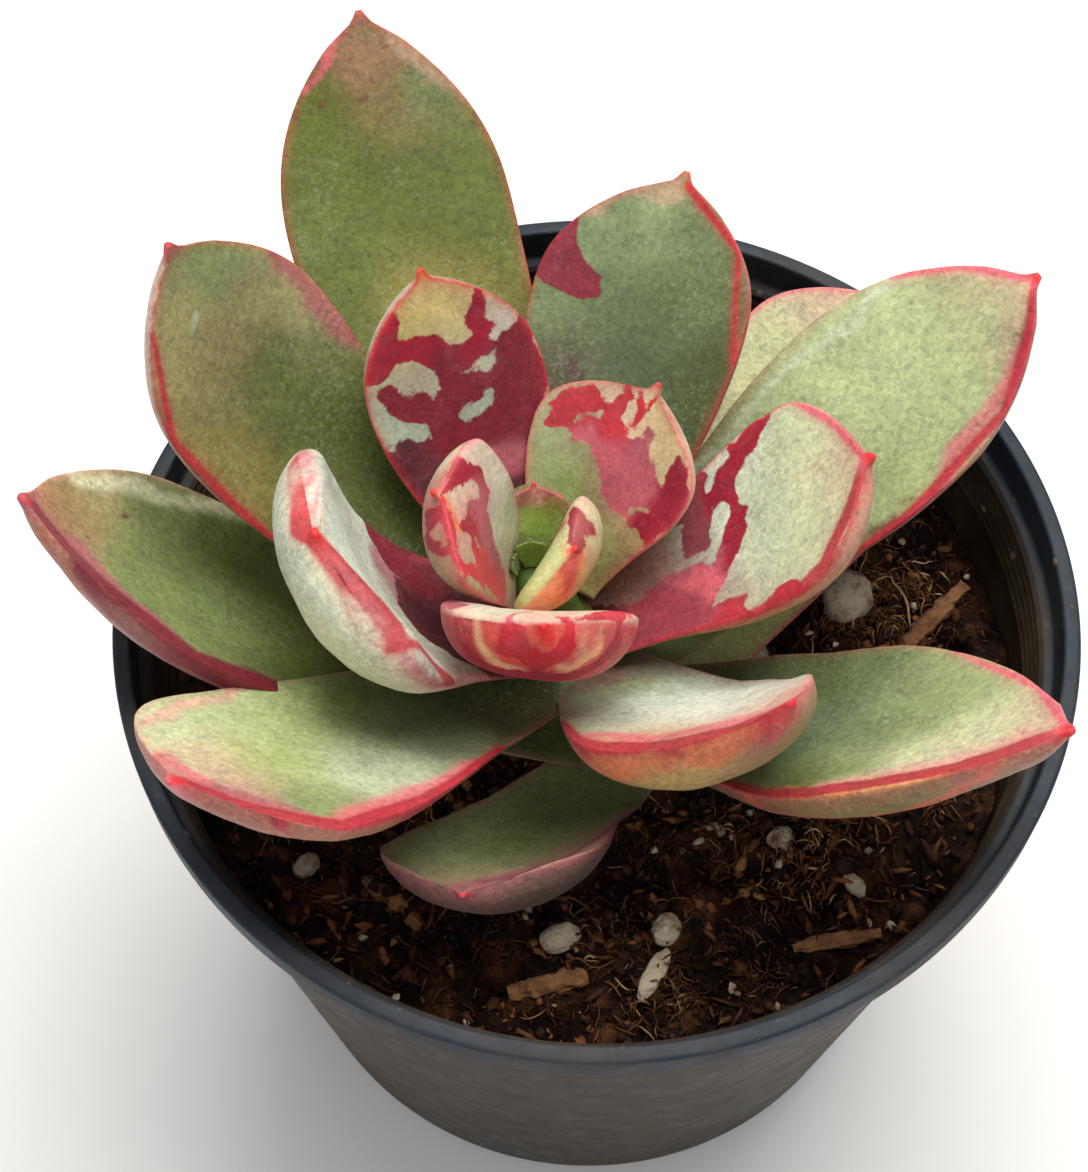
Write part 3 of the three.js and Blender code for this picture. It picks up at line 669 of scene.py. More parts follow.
def leaf_surface(leaf, t, v, above):
    """Points of a leaf's skin at t along it and v across it from -1 to 1, on the upper or lower face.

    A section is a D: the edges rise by cup times the half width times v squared, the upper face
    is crowned by the root of 1 - v^6, and the lower one hangs by the root of 1 - |v|^2.5.
    """
    centre, side, up = leaf_spine(leaf, t)
    full = leaf_outline(leaf, t)
    half = full * leaf["width"] / 2
    slim = (0.62 + 0.38 * smooth(t / 0.5)) * (1 - 0.25 * smooth((t - 0.6) / 0.4))
    depth = leaf["thick"] * np.minimum(1, full) ** 0.6 * slim
    crown = leaf["pillow"] * (0.35 + 0.65 * smooth((t - 0.35) / 0.5)) * depth
    edge = (leaf["cup"] * smooth(t / 0.3) * half)[:, None] * v ** 2
    upper = edge + crown[:, None] * np.sqrt(np.clip(1 - v ** 6, 0, 1))
    lower = edge - depth[:, None] * hanging(v)
    lift = np.where(above, upper, lower)
    across = half[:, None] * v
    return centre[:, None] + across[..., None] * side[:, None] + lift[..., None] * up[:, None]


# Paint on the leaves. A place is t along the leaf, v across it from -1 to 1, and a radius in
# millimetres; a stroke joins such places with tapering runs. Distances are in millimetres too
UPPER, LOWER = "upper", "lower"
FAR = 99.0
OUTSIDE = -9.0
EDGE_STEPS = 160
TONE_SOFTNESS = 14.0
FULL_WANDER_WIDTH = 18

# On the lower face the flank takes a place away from the edge: how much of the leaf's thickness
# the flank has, and how much of that counts for the margin's width and for its lines
FLANK_SHARE = 0.75
MARGIN_SHARE = 0.45
LINE_SHARE = 0.4

# Each kind of stroke: the colour that it lays its tone on and how strongly, and the distance
# that it widens (1) or cuts into (-1)
STROKES = {
    "wash": ("tone", 0.8, None, 0),
    "flush": ("flush_tone", 1.0, "flush", 1),
    "isle": (None, 0.0, "flush", -1),
    "line": ("rim_tone", 1.0, "rim", 1),
    "bare": (None, 0.0, "rim", -1),
    "scar": (None, 0.0, "scar", 1),
}


def stroke(kind, face, places, tone=None, soft=0.0):
    """A stroke of any kind; soft is how many millimetres outside it its tone fades out."""
    return {"kind": kind, "face": face, "tone": tone, "soft": soft, "places": places}


def wash(face, tone, soft, *places):
    """A stroke of a tone that fades out over soft millimetres."""
    return stroke("wash", face, places, tone, soft)


def flush(face, tone, *places):
    """A stroke of crisp marbling."""
    return stroke("flush", face, places, tone, 2.0)


def isle(face, *places):
    """A stroke that the marbling leaves bare."""
    return stroke("isle", face, places)


def line(face, tone, *places):
    """A stroke of the margin's crisp line."""
    return stroke("line", face, places, tone, 2.0)


def bare(face, *places):
    """A stroke that the margin's line leaves bare."""
    return stroke("bare", face, places)


def scar(face, *places):
    """A crisp brown mark."""
    return stroke("scar", face, places)


def look(upper, lower, edge=0.6, edge_tone="red", tip_tone="rose", tip=4.0, marks=()):
    """A leaf's tones at places (t, v) above and below, its margin's width and its tip."""
    return {
        "upper": upper, "lower": lower, "edge": edge, "edge_tone": edge_tone,
        "tip_tone": tip_tone, "tip": tip, "marks": marks,
    }


# Moss is painted shade; wine at the roots is marbling darkened by painted shade, where the leaves crowd
# together
LOOKS = {
    "leaf_bud_left": look(
        [(0.3, 0, "leafgreen/moss"), (0.9, 0, "fern")], [(0.5, 0, "moss")], edge=-3, tip=0.3),
    "leaf_bud_right": look(
        [(0.3, 0, "leafgreen/moss"), (0.9, 0, "leafgreen")], [(0.5, 0, "moss")], edge=-3, tip=0.3),
    "leaf_heart_back": look(
        [(0.2, 0, "leafgreen"), (0.5, 0.3, "leafgreen"), (0.55, -0.4, "leafgreen/lime"), (0.8, 0.6, "tan")],
        [(0.5, 0, "leafgreen/moss")], edge=0.12, edge_tone="mauve", tip=1.2, marks=[
            wash(UPPER, "mauve", 1.0, (0.78, -0.5, 0.7), (0.86, 0.5, 0.6)),
            wash(UPPER, "rose", 0.5, (0.66, 0.0, 0.2), (0.9, 0.0, 0.3)),
        ]),
    "leaf_heart_front": look(
        [(0.7, 0, "lime/pale"), (0.8, 0.4, "pale/lime"), (0.88, 0.8, "lime"), (0.75, -0.9, "cream/rose"),
         (0.6, -0.6, "rose/lime"), (0.5, 0.5, "leafgreen/lime")],
        [(0.8, 0, "pale/sage"), (0.83, -0.8, "pale/cream"), (0.86, 0.4, "butter/orange"),
         (0.82, 0.9, "tan/orange"), (0.92, -0.3, "cream/rose"), (0.93, 0.6, "red/orange"),
         (0.6, 0, "fern")],
        edge=-0.3, edge_tone="rose", tip_tone="scarlet", tip=1.5, marks=[
            flush(UPPER, "crimson", (0.74, -0.65, 0.45), (0.82, -0.9, 0.9), (0.89, -0.97, 0.8)),
            flush(LOWER, "crimson", (0.86, -0.99, 0.6), (0.93, -0.9, 0.6)),
            flush(UPPER, "red", (0.68, -0.35, 0.4)),
            # The cream wash by the crimson patch is a painted highlight
            wash(UPPER, "cream", 0.3, (0.82, -0.62, 0.15), (0.9, -0.7, 0.2)),
            wash(LOWER, "scarlet", 0.6, (0.96, -0.6, 0.6), (0.97, 0.0, 0.6)),
            wash(LOWER, "orange", 0.8, (0.94, 0.3, 0.5), (0.89, 0.55, 0.5), (0.83, 0.95, 0.5)),
            wash(LOWER, "red", 0.5, (0.9, 0.5, 0.2), (0.84, 0.85, 0.25)),
        ]),
    "leaf_heart_left": look(
        [(0.25, -0.3, "tan/mauve"), (0.3, 0.25, "sage/cream"), (0.42, 0.3, "mint"), (0.4, 0.85, "sage"),
         (0.6, 0.9, "mint"), (0.8, 0.92, "mint/rose"), (0.88, 0.65, "cream"), (0.9, 0.1, "cream/rose"),
         (0.88, -0.5, "rose/red"), (0.72, -0.97, "pale/fern"), (0.45, -0.9, "tan/fern"),
         (0.62, -0.1, "mauve"), (0.78, 0.1, "mauve")],
        [(0.8, -0.9, "pale/crimson"), (0.6, 0, "crimson/mauve"), (0.9, 0, "crimson/rose"),
         (0.8, 0.7, "cream")],
        edge=0.1, edge_tone="pink/red", tip_tone="scarlet", tip=1.2, marks=[
            flush(UPPER, "crimson", (0.95, 0.9, 0.4), (0.84, 0.6, 0.6), (0.73, 0.45, 0.8), (0.66, 0.3, 1.0)),
            flush(UPPER, "mauve", (0.7, 0.1, 1.5), (0.58, -0.05, 2.4), (0.46, -0.3, 2.1),
                  (0.3, -0.45, 1.4)),
            flush(UPPER, "red", (0.7, -0.4, 0.8), (0.62, -0.5, 1.0), (0.5, -0.6, 1.1), (0.3, -0.7, 0.9)),
            flush(UPPER, "red", (0.93, -1.0, 0.7), (0.84, -0.95, 0.7), (0.74, -0.8, 0.8), (0.62, -0.7, 1.0)),
            flush(UPPER, "crimson", (0.8, -0.3, 0.4), (0.73, -0.15, 0.7)),
            flush(LOWER, "crimson", (0.92, -0.97, 0.6), (0.84, -0.9, 0.4)),
            isle(UPPER, (0.72, -0.92, 0.5), (0.62, -0.97, 0.4)),
            wash(UPPER, "orange", 0.7, (0.93, -0.8, 0.5), (0.84, -0.4, 0.4)),
        ]),
    "leaf_heart_right": look(
        [(0.45, -0.85, "pale/sage"), (0.6, -0.93, "pale"), (0.42, -0.4, "leafgreen/sage"),
         (0.3, 0.1, "leafgreen/sage"), (0.46, 0.0, "sage/mauve"), (0.6, -0.4, "mauve/slate"),
         (0.64, 0.15, "mauve/rose"), (0.5, 0.5, "mauve/rose"), (0.9, -0.6, "cream/rose"),
         (0.86, 0.4, "cream/butter"), (0.78, 0.75, "cream/butter"), (0.92, 0.9, "rose/butter"),
         (0.33, 0.85, "sage/tan"), (0.8, -0.3, "rose/cream")],
        [(0.4, 0, "rose"), (0.7, -0.5, "mint/sage"), (0.7, 0.5, "rose/cream")],
        edge=0.15, edge_tone="pink/red", tip_tone="pink", tip=1.5, marks=[
            flush(UPPER, "mauve/pink", (0.62, -0.5, 1.7), (0.64, -0.15, 2.6), (0.6, 0.2, 3.2),
                  (0.54, 0.45, 3.0), (0.45, 0.7, 2.2)),
            flush(UPPER, "crimson", (0.74, 0.74, 1.3), (0.64, 0.83, 1.8), (0.5, 0.95, 1.6),
                  (0.38, 0.95, 1.4)),
            flush(UPPER, "red", (0.62, -0.8, 0.8), (0.7, -0.82, 1.3), (0.77, -0.74, 1.4)),
            flush(UPPER, "red", (0.84, -0.55, 0.7), (0.78, -0.42, 1.0), (0.68, -0.3, 0.7)),
            flush(UPPER, "red", (0.88, -0.35, 0.4), (0.82, -0.1, 0.6), (0.75, -0.05, 0.5)),
            flush(UPPER, "red", (0.84, 0.05, 0.35), (0.89, 0.22, 0.3)),
            flush(UPPER, "mauve", (0.76, 0.23, 0.6)),
            isle(UPPER, (0.41, 0.57, 0.3), (0.47, 0.72, 0.4)),
        ]),
    "leaf_front_near": look(
        [(0.2, 0, "crimson"), (0.6, 0.95, "pink/crimson"), (0.74, 0.6, "cream/mint"), (0.78, 0.1, "cream"),
         (0.8, -0.6, "cream/rose"), (0.91, 0, "rose"), (0.5, -0.5, "cream/rose"), (0.5, 0.3, "rose")],
        [(0.5, 0, "crimson"), (0.74, 0.85, "crimson"), (0.73, 0, "crimson"), (0.76, -0.85, "crimson/red"),
         (0.86, 0.5, "scarlet/red"), (0.94, 0.3, "scarlet/orange"), (0.94, -0.3, "scarlet/orange"),
         (0.86, -0.97, "red/rose"), (0.9, 0.97, "pink/orange"), (0.84, 0, "scarlet/crimson")],
        edge=-0.2, edge_tone="pink", tip_tone="scarlet", tip=1.4, marks=[
            flush(LOWER, "scarlet/crimson", (0.87, 0.97, 0.6), (0.88, 0.6, 1.0), (0.83, 0.0, 1.5),
                  (0.88, -0.56, 1.0), (0.9, -0.97, 0.8)),
            flush(LOWER, "crimson", (0.74, 0.97, 0.9), (0.73, 0.6, 1.1), (0.68, 0.0, 1.6), (0.74, -0.5, 1.1),
                  (0.76, -0.9, 0.8)),
            wash(LOWER, "butter/rose", 0.5, (0.82, 1.0, 0.3), (0.82, 0.85, 0.35), (0.79, 0.55, 0.35),
                 (0.76, 0.25, 0.2)),
            wash(LOWER, "butter/rose", 0.5, (0.84, -1.0, 0.25), (0.84, -0.75, 0.35), (0.79, -0.38, 0.25)),
            isle(LOWER, (0.82, 1.0, 0.3), (0.82, 0.85, 0.35), (0.79, 0.55, 0.25), (0.76, 0.25, 0.1)),
            isle(LOWER, (0.84, -1.0, 0.25), (0.84, -0.75, 0.3), (0.79, -0.38, 0.1)),
            wash(LOWER, "scarlet", 0.6, (0.96, -0.7, 0.7), (0.96, 0.2, 0.6)),
            flush(UPPER, "mauve", (0.62, 1.0, 1.0), (0.72, 0.97, 0.8)),
            flush(UPPER, "pink", (0.88, 0.97, 0.4), (0.8, 0.1, 0.4)),
            flush(UPPER, "red", (0.9, -1.0, 0.9), (0.82, -0.85, 0.8), (0.7, -0.9, 0.7)),
            flush(UPPER, "red", (0.2, -0.9, 1.2), (0.55, -0.9, 1.0)),
        ]),
    "leaf_back_mid": look(
        [(0.2, 0, "wine"), (0.57, -0.8, "slate/mint"), (0.59, 0.2, "mint/slate"),
         (0.7, -0.3, "mint/slate/mauve"), (0.76, 0.85, "mint/mauve/mint"), (0.83, -0.5, "butter/fern"),
         (0.87, 0.1, "lime/butter"), (0.94, -0.5, "rose/butter"), (0.93, 0.6, "butter/rose")],
        [(0.5, 0, "mint")],
        edge=0.2, edge_tone="red", tip_tone="orange", tip=2.2, marks=[
            flush(UPPER, "wine", (0.0, 0.0, 9.0), (0.34, 0.0, 9.0)),
            flush(UPPER, "wine", (0.56, -0.96, 1.0), (0.48, -0.75, 1.9), (0.4, -0.4, 3.0)),
            flush(UPPER, "mauve", (0.53, -0.1, 1.7), (0.48, 0.35, 2.4), (0.42, 0.6, 3.0)),
            flush(UPPER, "crimson", (0.88, -1.0, 0.7), (0.8, -0.86, 1.5), (0.76, -0.86, 1.4)),
            flush(UPPER, "crimson", (0.8, -0.68, 1.3), (0.77, -0.31, 1.3), (0.73, 0.04, 1.2),
                  (0.71, 0.38, 1.3), (0.7, 0.62, 1.1)),
            flush(UPPER, "crimson", (0.88, 0.95, 0.6), (0.84, 0.72, 1.1), (0.8, 0.49, 1.2),
                  (0.74, 0.5, 1.2)),
            flush(UPPER, "crimson/wine", (0.72, 0.97, 1.4), (0.65, 0.8, 2.2), (0.57, 0.85, 2.2)),
            flush(UPPER, "crimson/wine", (0.67, -0.68, 1.2), (0.6, -0.38, 1.9), (0.53, -0.27, 2.0)),
            flush(UPPER, "crimson/wine", (0.7, 0.05, 1.1), (0.65, 0.05, 1.4), (0.6, 0.5, 1.4),
                  (0.54, 0.62, 1.6)),
            flush(UPPER, "wine/crimson", (0.62, -0.05, 1.2), (0.54, -0.15, 1.4), (0.5, 0.7, 2.2)),
            isle(UPPER, (0.72, -0.72, 0.5), (0.7, -0.45, 0.9), (0.69, -0.18, 0.8)),
            isle(UPPER, (0.67, 0.38, 0.65)),
            isle(UPPER, (0.58, 0.06, 0.6), (0.58, 0.38, 0.7)),
            isle(UPPER, (0.65, -0.92, 0.8), (0.6, -0.81, 1.1), (0.53, -0.56, 0.9)),
            isle(UPPER, (0.8, 0.9, 0.9), (0.75, 0.83, 1.4), (0.72, 0.68, 0.7)),
        ]),
    "leaf_left_near": look(
        [(0.3, 0, "wine"), (0.42, -0.4, "bloom"), (0.5, 0.3, "mint/bloom"), (0.8, 0, "mint"),
         (0.8, -0.8, "mint")],
        [(0.3, 0, "mauve"), (0.6, -0.2, "cream/mint"), (0.8, 0.2, "bloom/mint"), (0.72, -0.7, "cream/mint"),
         (0.92, 0, "cream/mint"), (0.5, 0.6, "mint"), (0.88, -0.8, "cream/mint"), (0.7, 0.75, "mint/bloom")],
        edge=0.15, edge_tone="pink", tip_tone="red", tip=1.3, marks=[
            flush(UPPER, "wine", (0.0, 0.0, 9.0), (0.2, 0.0, 8.0)),
            flush(UPPER, "wine/crimson", (0.3, 0.75, 3.0), (0.42, 0.95, 2.4)),
            wash(UPPER, "mauve", 2.5, (0.35, 0.3, 2.0), (0.42, 0.5, 2.0)),
            bare(UPPER, (0.3, 1.0, 2.0), (0.75, 1.0, 1.5)),
            bare(LOWER, (0.3, 1.0, 2.0), (0.7, 1.0, 1.5)),
            line(UPPER, "red/crimson", (0.97, -0.5, 0.8), (0.93, -0.95, 0.6), (0.85, -1.0, 0.5),
                 (0.45, -1.0, 0.7)),
            bare(LOWER, (0.3, -1.0, 1.0), (0.9, -1.0, 0.8)),
            line(LOWER, "red/crimson", (0.97, -0.5, 0.9), (0.93, -0.95, 0.5), (0.85, -1.0, 0.3),
                 (0.6, -1.0, 0.1)),
            line(LOWER, "red", (0.86, 1.0, 0.4), (0.92, 0.87, 0.6), (0.94, 0.45, 1.1), (0.965, -0.1, 0.9),
                 (0.97, -0.5, 0.9)),
        ]),
    "leaf_right_mid": look(
        [(0.15, -0.5, "slate/mauve"), (0.25, -0.3, "slate/mauve"), (0.36, -0.5, "slate/mint"),
         (0.45, -0.3, "mint"), (0.55, -0.9, "mint"), (0.62, 0, "pale/mint"), (0.8, -0.6, "cream/pale"),
         (0.8, 0.2, "pale/cream"), (0.93, -0.2, "rose/pale"), (0.3, 0.5, "mauve")],
        [(0.5, 0, "tan/fern"), (0.85, 0.5, "tan/rose")],
        edge=0.2, edge_tone="red", tip_tone="red", tip=1.6, marks=[
            flush(UPPER, "wine", (0.0, 0.4, 3.0), (0.16, 0.5, 3.4)),
            flush(UPPER, "wine/mauve", (0.3, -0.95, 1.6), (0.42, -0.85, 2.2), (0.4, -0.62, 2.6),
                  (0.37, -0.3, 1.5)),
            flush(UPPER, "crimson", (0.69, -0.97, 0.8), (0.63, -0.85, 1.2), (0.56, -0.76, 1.5),
                  (0.51, -0.52, 1.9), (0.54, -0.28, 1.3), (0.5, -0.08, 1.5), (0.44, 0.15, 1.7),
                  (0.4, 0.35, 1.8)),
            flush(UPPER, "mauve", (0.22, 0.2, 1.8), (0.3, 0.25, 2.4), (0.35, 0.3, 2.2)),
            flush(UPPER, "pink", (0.37, 0.3, 1.2), (0.39, 0.5, 1.6)),
            flush(UPPER, "crimson/mauve", (0.16, 0.5, 3.0), (0.26, 0.75, 3.0), (0.36, 0.92, 2.4),
                  (0.46, 0.9, 2.2)),
            flush(UPPER, "red", (0.46, 0.97, 1.4), (0.57, 0.97, 1.2), (0.7, 1.0, 0.7)),
            isle(UPPER, (0.58, -1.0, 0.7), (0.51, -0.9, 1.1)),
            isle(UPPER, (0.49, -0.38, 0.9), (0.43, -0.22, 1.1), (0.4, -0.04, 0.5)),
            line(UPPER, "red/crimson", (0.96, 0.2, 0.7), (0.91, 0.8, 0.9), (0.8, 0.95, 0.9),
                 (0.7, 0.98, 0.8), (0.5, 1.0, 0.6)),
            line(UPPER, "pink", (0.8, -1.0, 0.3), (0.9, -0.95, 0.6), (0.96, -0.5, 0.6)),
        ]),
    "leaf_back_right": look(
        [(0.3, 0, "moss"), (0.5, 0.1, "moss/slate"), (0.62, 0, "slate/moss"), (0.75, 0.2, "slate/moss/fern"),
         (0.82, -0.5, "slate/sage"), (0.92, -0.5, "pale/sage"), (0.9, 0.3, "slate/sage"),
         (0.6, -0.9, "slate/sage"), (0.55, 0.9, "moss"), (0.48, -0.8, "moss/wine")],
        [(0.5, 0, "mauve")],
        edge=0.1, edge_tone="red/crimson", tip_tone="mauve/sage", tip=1.4, marks=[
            flush(UPPER, "wine/crimson", (0.81, -1.0, 1.2), (0.76, -0.93, 2.3), (0.71, -0.8, 2.5),
                  (0.69, -0.53, 2.2)),
            wash(UPPER, "wine", 0.7, (0.53, -0.48, 0.2), (0.52, -0.36, 0.25)),
            wash(UPPER, "rose/sage", 1.2, (0.86, -0.98, 0.2), (0.95, -0.4, 0.2)),
            line(UPPER, "red", (0.6, 1.0, 0.3), (0.85, 1.0, 0.4), (0.96, 0.5, 0.5)),
        ]),
    "leaf_right_near": look(
        # The bloom on the upper face is partly painted light: paler than the skin, to lift the shade that the
        # heart leaves cast on it
        [(0.08, 0, "wine"), (0.18, 0, "slate/sage"), (0.3, 0, "mint"), (0.42, -0.3, "bloom"),
         (0.55, -0.2, "bloom"), (0.7, -0.5, "bloom/rose/bloom"), (0.72, 0.2, "rose/bloom"),
         (0.88, -0.3, "rose"), (0.3, 0.8, "mint/sage"), (0.66, 0.95, "butter/tan"),
         (0.8, 0.9, "butter/fern")],
        [(0.1, 0, "slate"), (0.2, 0.4, "cream"), (0.5, -0.3, "butter/fern"), (0.6, 0.3, "fern/tan"),
         (0.72, 0.9, "butter/tan"), (0.8, -0.3, "tan/fern"), (0.9, 0, "tan/mauve"),
         (0.42, 0.6, "mauve/tan")],
        edge=0.1, edge_tone="pink/red", tip_tone="red", tip=2.2, marks=[
            line(UPPER, "red/crimson", (0.3, 1.0, 0.5), (0.46, 1.0, 1.0), (0.56, 0.95, 1.2),
                 (0.66, 0.9, 1.3), (0.77, 0.86, 1.3), (0.87, 0.84, 1.3), (0.95, 0.5, 1.1)),
            wash(UPPER, "pink", 1.6, (0.44, 0.9, 0.5), (0.6, 0.7, 0.6), (0.76, 0.45, 0.6), (0.9, 0.2, 0.6)),
            wash(LOWER, "orange", 0.9, (0.5, 1.0, 0.5), (0.75, 1.0, 0.6), (0.9, 0.95, 0.5)),
            line(LOWER, "red/crimson", (0.3, 1.0, 0.4), (0.5, 1.0, 0.4), (0.75, 1.0, 0.3), (0.94, 0.9, 0.5)),
            wash(LOWER, "pink", 1.6, (0.36, 0.8, 0.6), (0.48, 0.95, 0.6)),
            wash(LOWER, "red", 2.0, (0.92, 0.5, 0.6), (0.95, -0.2, 0.6)),
        ]),
    "leaf_back_left": look(
        [(0.35, 0, "moss/olive"), (0.55, 0.1, "moss/olive"), (0.7, 0.1, "moss/olive"),
         (0.8, 0, "fern/slate/tan"), (0.9, -0.5, "fern/pale/tan"), (0.9, 0.4, "sage"),
         (0.78, 0.88, "pale/sage/tan"), (0.65, -0.9, "olive/fern/tan")],
        [(0.4, 0, "sage"), (0.8, 0, "rose/mint")],
        edge=0.1, edge_tone="red/crimson", tip_tone="mauve", tip=2.4, marks=[
            line(UPPER, "red/crimson", (0.5, -1.0, 0.5), (0.75, -1.0, 0.45), (0.9, -1.0, 0.3)),
            wash(UPPER, "mint/sage", 0.5, (0.86, -0.3, 0.1), (0.875, -0.22, 0.1)),
            wash(UPPER, "mauve", 1.4, (0.6, 1.0, 0.2), (0.85, 0.99, 0.2)),
            scar(UPPER, (0.83, 0.53, 0.3), (0.834, 0.5, 0.2)),
            scar(UPPER, (0.71, 0.6, 0.3)),
            scar(UPPER, (0.78, 0.1, 0.12)),
            scar(UPPER, (0.5, -0.1, 0.15)),
        ]),
    "leaf_left_front": look(
        [(0.2, 0, "moss"), (0.38, -0.3, "slate/moss"), (0.42, 0.5, "fern"), (0.56, -0.4, "mint/pale"),
         (0.6, 0.4, "lime/pale"), (0.73, 0, "sage/lime"), (0.72, 0.8, "pale"), (0.8, -0.6, "sage"),
         (0.87, 0.2, "pale/rose"), (0.92, -0.5, "mauve/rose"), (0.87, 0.8, "cream/pale")],
        [(0.3, 0, "moss"), (0.6, 0, "tan/fern"), (0.85, 0, "tan/mauve")],
        edge=0.0, edge_tone="pink/red", tip_tone="pink", tip=3.0, marks=[
            line(UPPER, "red/crimson", (0.3, -1.0, 0.6), (0.55, -1.0, 1.0), (0.8, -1.0, 1.1),
                 (0.92, -0.92, 1.1), (0.97, -0.5, 1.0)),
            wash(UPPER, "pink", 1.6, (0.4, -1.0, 0.5), (0.8, -0.95, 0.9)),
            wash(UPPER, "mauve", 1.6, (0.84, -0.8, 0.3), (0.93, -0.2, 0.4)),
            wash(UPPER, "pink", 1.2, (0.93, 0.0, 0.3), (0.94, 0.9, 0.3)),
            wash(UPPER, "rose", 1.0, (0.6, 0.99, 0.2), (0.88, 0.97, 0.3)),
            line(LOWER, "red/crimson", (0.3, -1.0, 0.5), (0.6, -1.0, 0.9), (0.9, -1.0, 0.8)),
            scar(UPPER, (0.41, 0.4, 0.4), (0.42, 0.45, 0.3)),
            scar(UPPER, (0.39, 0.62, 0.25)),
            scar(UPPER, (0.45, 0.6, 0.2)),
            scar(UPPER, (0.36, 0.5, 0.15)),
        ]),
    "leaf_right_back": look(
        [(0.45, -0.5, "pale/sage"), (0.62, -0.3, "pale"), (0.75, -0.6, "pale"),
         (0.72, 0.4, "pale/sage/pale"), (0.87, 0, "pale/sage/pale"), (0.92, 0.6, "pale/mauve"),
         (0.94, -0.3, "pale/rose"), (0.6, 0.85, "sage/pale"), (0.4, 0.7, "fern")],
        [(0.5, 0, "mauve/tan")],
        edge=0.0, edge_tone="crimson", tip_tone="crimson", tip=1.8, marks=[
            bare(UPPER, (0.2, -1.0, 1.4), (0.8, -1.0, 1.0)),
            wash(UPPER, "mint/pale", 0.5, (0.3, -1.0, 0.2), (0.8, -1.0, 0.2)),
            line(UPPER, "crimson/red", (0.4, 1.0, 0.3), (0.55, 1.0, 0.6), (0.8, 1.0, 0.6), (0.92, 0.95, 0.8),
                 (0.98, 0.3, 0.6)),
            line(UPPER, "pink", (0.8, -1.0, 0.3), (0.9, -1.0, 0.5), (0.97, -0.6, 0.5)),
            wash(UPPER, "pink/mauve", 1.2, (0.6, 1.0, 0.4), (0.9, 0.95, 0.4)),
            wash(UPPER, "wine", 1.0, (0.48, 1.0, 0.7), (0.62, 1.0, 0.2)),
            wash(UPPER, "wine", 1.0, (0.8, 1.0, 0.2), (0.93, 0.88, 0.4)),
            scar(UPPER, (0.5, 0.7, 0.5)),
            scar(UPPER, (0.9, 0.6, 0.25), (0.905, 0.65, 0.25)),
            scar(UPPER, (0.56, 0.82, 0.25)),
        ]),
    "leaf_back_tall": look(
        [(0.4, 0, "olive/olive/olive/butter"), (0.6, 0.1, "olive/olive/olive/butter"),
         (0.75, 0.2, "olive"), (0.68, -0.7, "olive/fern"), (0.6, -0.95, "olive"), (0.86, -0.6, "olive"),
         (0.88, 0.1, "moss/tan"), (0.9, 0.7, "fern/sage"), (0.72, 0.75, "olive/fern"),
         (0.8, -0.2, "olive")],
        [(0.5, 0, "olive")],
        edge=0.1, edge_tone="red", tip_tone="mauve/fern", tip=3.4, marks=[
            wash(UPPER, "mauve/fern/tan", 3.4, (0.93, -0.3, 0.6), (0.94, 0.3, 0.6)),
            wash(UPPER, "rose/sage", 1.0, (0.86, 0.97, 0.2), (0.95, 0.85, 0.3)),
            wash(UPPER, "pink", 0.6, (0.9, -1.0, 0.1), (0.96, -0.8, 0.2)),
            scar(UPPER, (0.88, -0.23, 0.5), (0.884, -0.2, 0.45)),
            scar(UPPER, (0.87, -0.7, 0.3)),
            scar(UPPER, (0.75, 0.55, 0.28)),
            scar(UPPER, (0.9, 0.1, 0.15)),
            scar(UPPER, (0.82, 0.3, 0.14)),
            scar(UPPER, (0.79, 0.42, 0.12)),
            scar(UPPER, (0.72, 0.3, 0.12)),
        ]),
    "leaf_right_front": look(
        [(0.2, 0, "moss"), (0.4, 0, "slate"), (0.4, -0.7, "slate/fern"), (0.55, 0, "slate/sage"),
         (0.55, 0.8, "fern"), (0.7, -0.5, "pale/sage"), (0.7, 0.35, "pale/cream"), (0.82, 0, "pale/cream"),
         (0.8, 0.6, "cream/rose"), (0.92, -0.5, "rose/pale"), (0.62, -0.2, "sage")],
        [(0.4, 0.9, "tan/wine"), (0.6, 0.8, "tan/fern"), (0.72, 0.9, "tan/fern/moss"),
         (0.88, 0.7, "mauve/tan/moss"), (0.6, -0.5, "tan/moss")],
        edge=0.0, edge_tone="pink/red", tip_tone="red", tip=3.0, marks=[
            wash(UPPER, "orange/butter", 0.8, (0.5, 1.0, 0.5), (0.66, 0.98, 1.0), (0.8, 0.97, 0.8),
                 (0.92, 0.9, 0.5)),
            wash(UPPER, "rose", 1.8, (0.6, 0.8, 0.4), (0.8, 0.7, 0.6), (0.92, 0.5, 0.8)),
            line(UPPER, "red/crimson", (0.3, 1.0, 0.7), (0.45, 0.98, 0.95), (0.56, 0.92, 1.05),
                 (0.67, 0.86, 1.1), (0.78, 0.85, 1.15), (0.89, 0.88, 1.2), (0.97, 0.45, 1.0)),
            wash(LOWER, "red/orange", 0.6, (0.4, 1.0, 0.2), (0.9, 0.98, 0.3)),
            line(UPPER, "pink", (0.6, -1.0, 0.2), (0.85, -1.0, 0.5), (0.97, -0.6, 0.5)),
        ]),
    "leaf_left": look(
        [(0.3, 0, "moss"), (0.5, -0.2, "fern/olive"), (0.65, 0, "fern/sage"), (0.6, 0.7, "olive/fern"),
         (0.75, 0.5, "fern/sage"), (0.8, -0.3, "fern/sage"), (0.9, 0.1, "sage/tan"),
         (0.94, -0.2, "mauve/tan"), (0.86, 0.8, "pale/tan")],
        [(0.4, -0.8, "wine/tan"), (0.7, -0.85, "wine/crimson/tan"), (0.92, -0.5, "tan/crimson"),
         (0.7, 0.0, "mauve/sage"), (0.4, 0.4, "sage"), (0.85, 0.3, "mauve/sage")],
        edge=0.05, edge_tone="rose", tip_tone="mauve", tip=3.0, marks=[
            line(UPPER, "crimson/wine", (0.35, -1.0, 1.1), (0.7, -1.0, 1.5), (0.88, -0.97, 1.5),
                 (0.97, -0.5, 1.0)),
            line(LOWER, "crimson/wine", (0.35, -1.0, 1.3), (0.7, -1.0, 1.2), (0.9, -1.0, 1.0)),
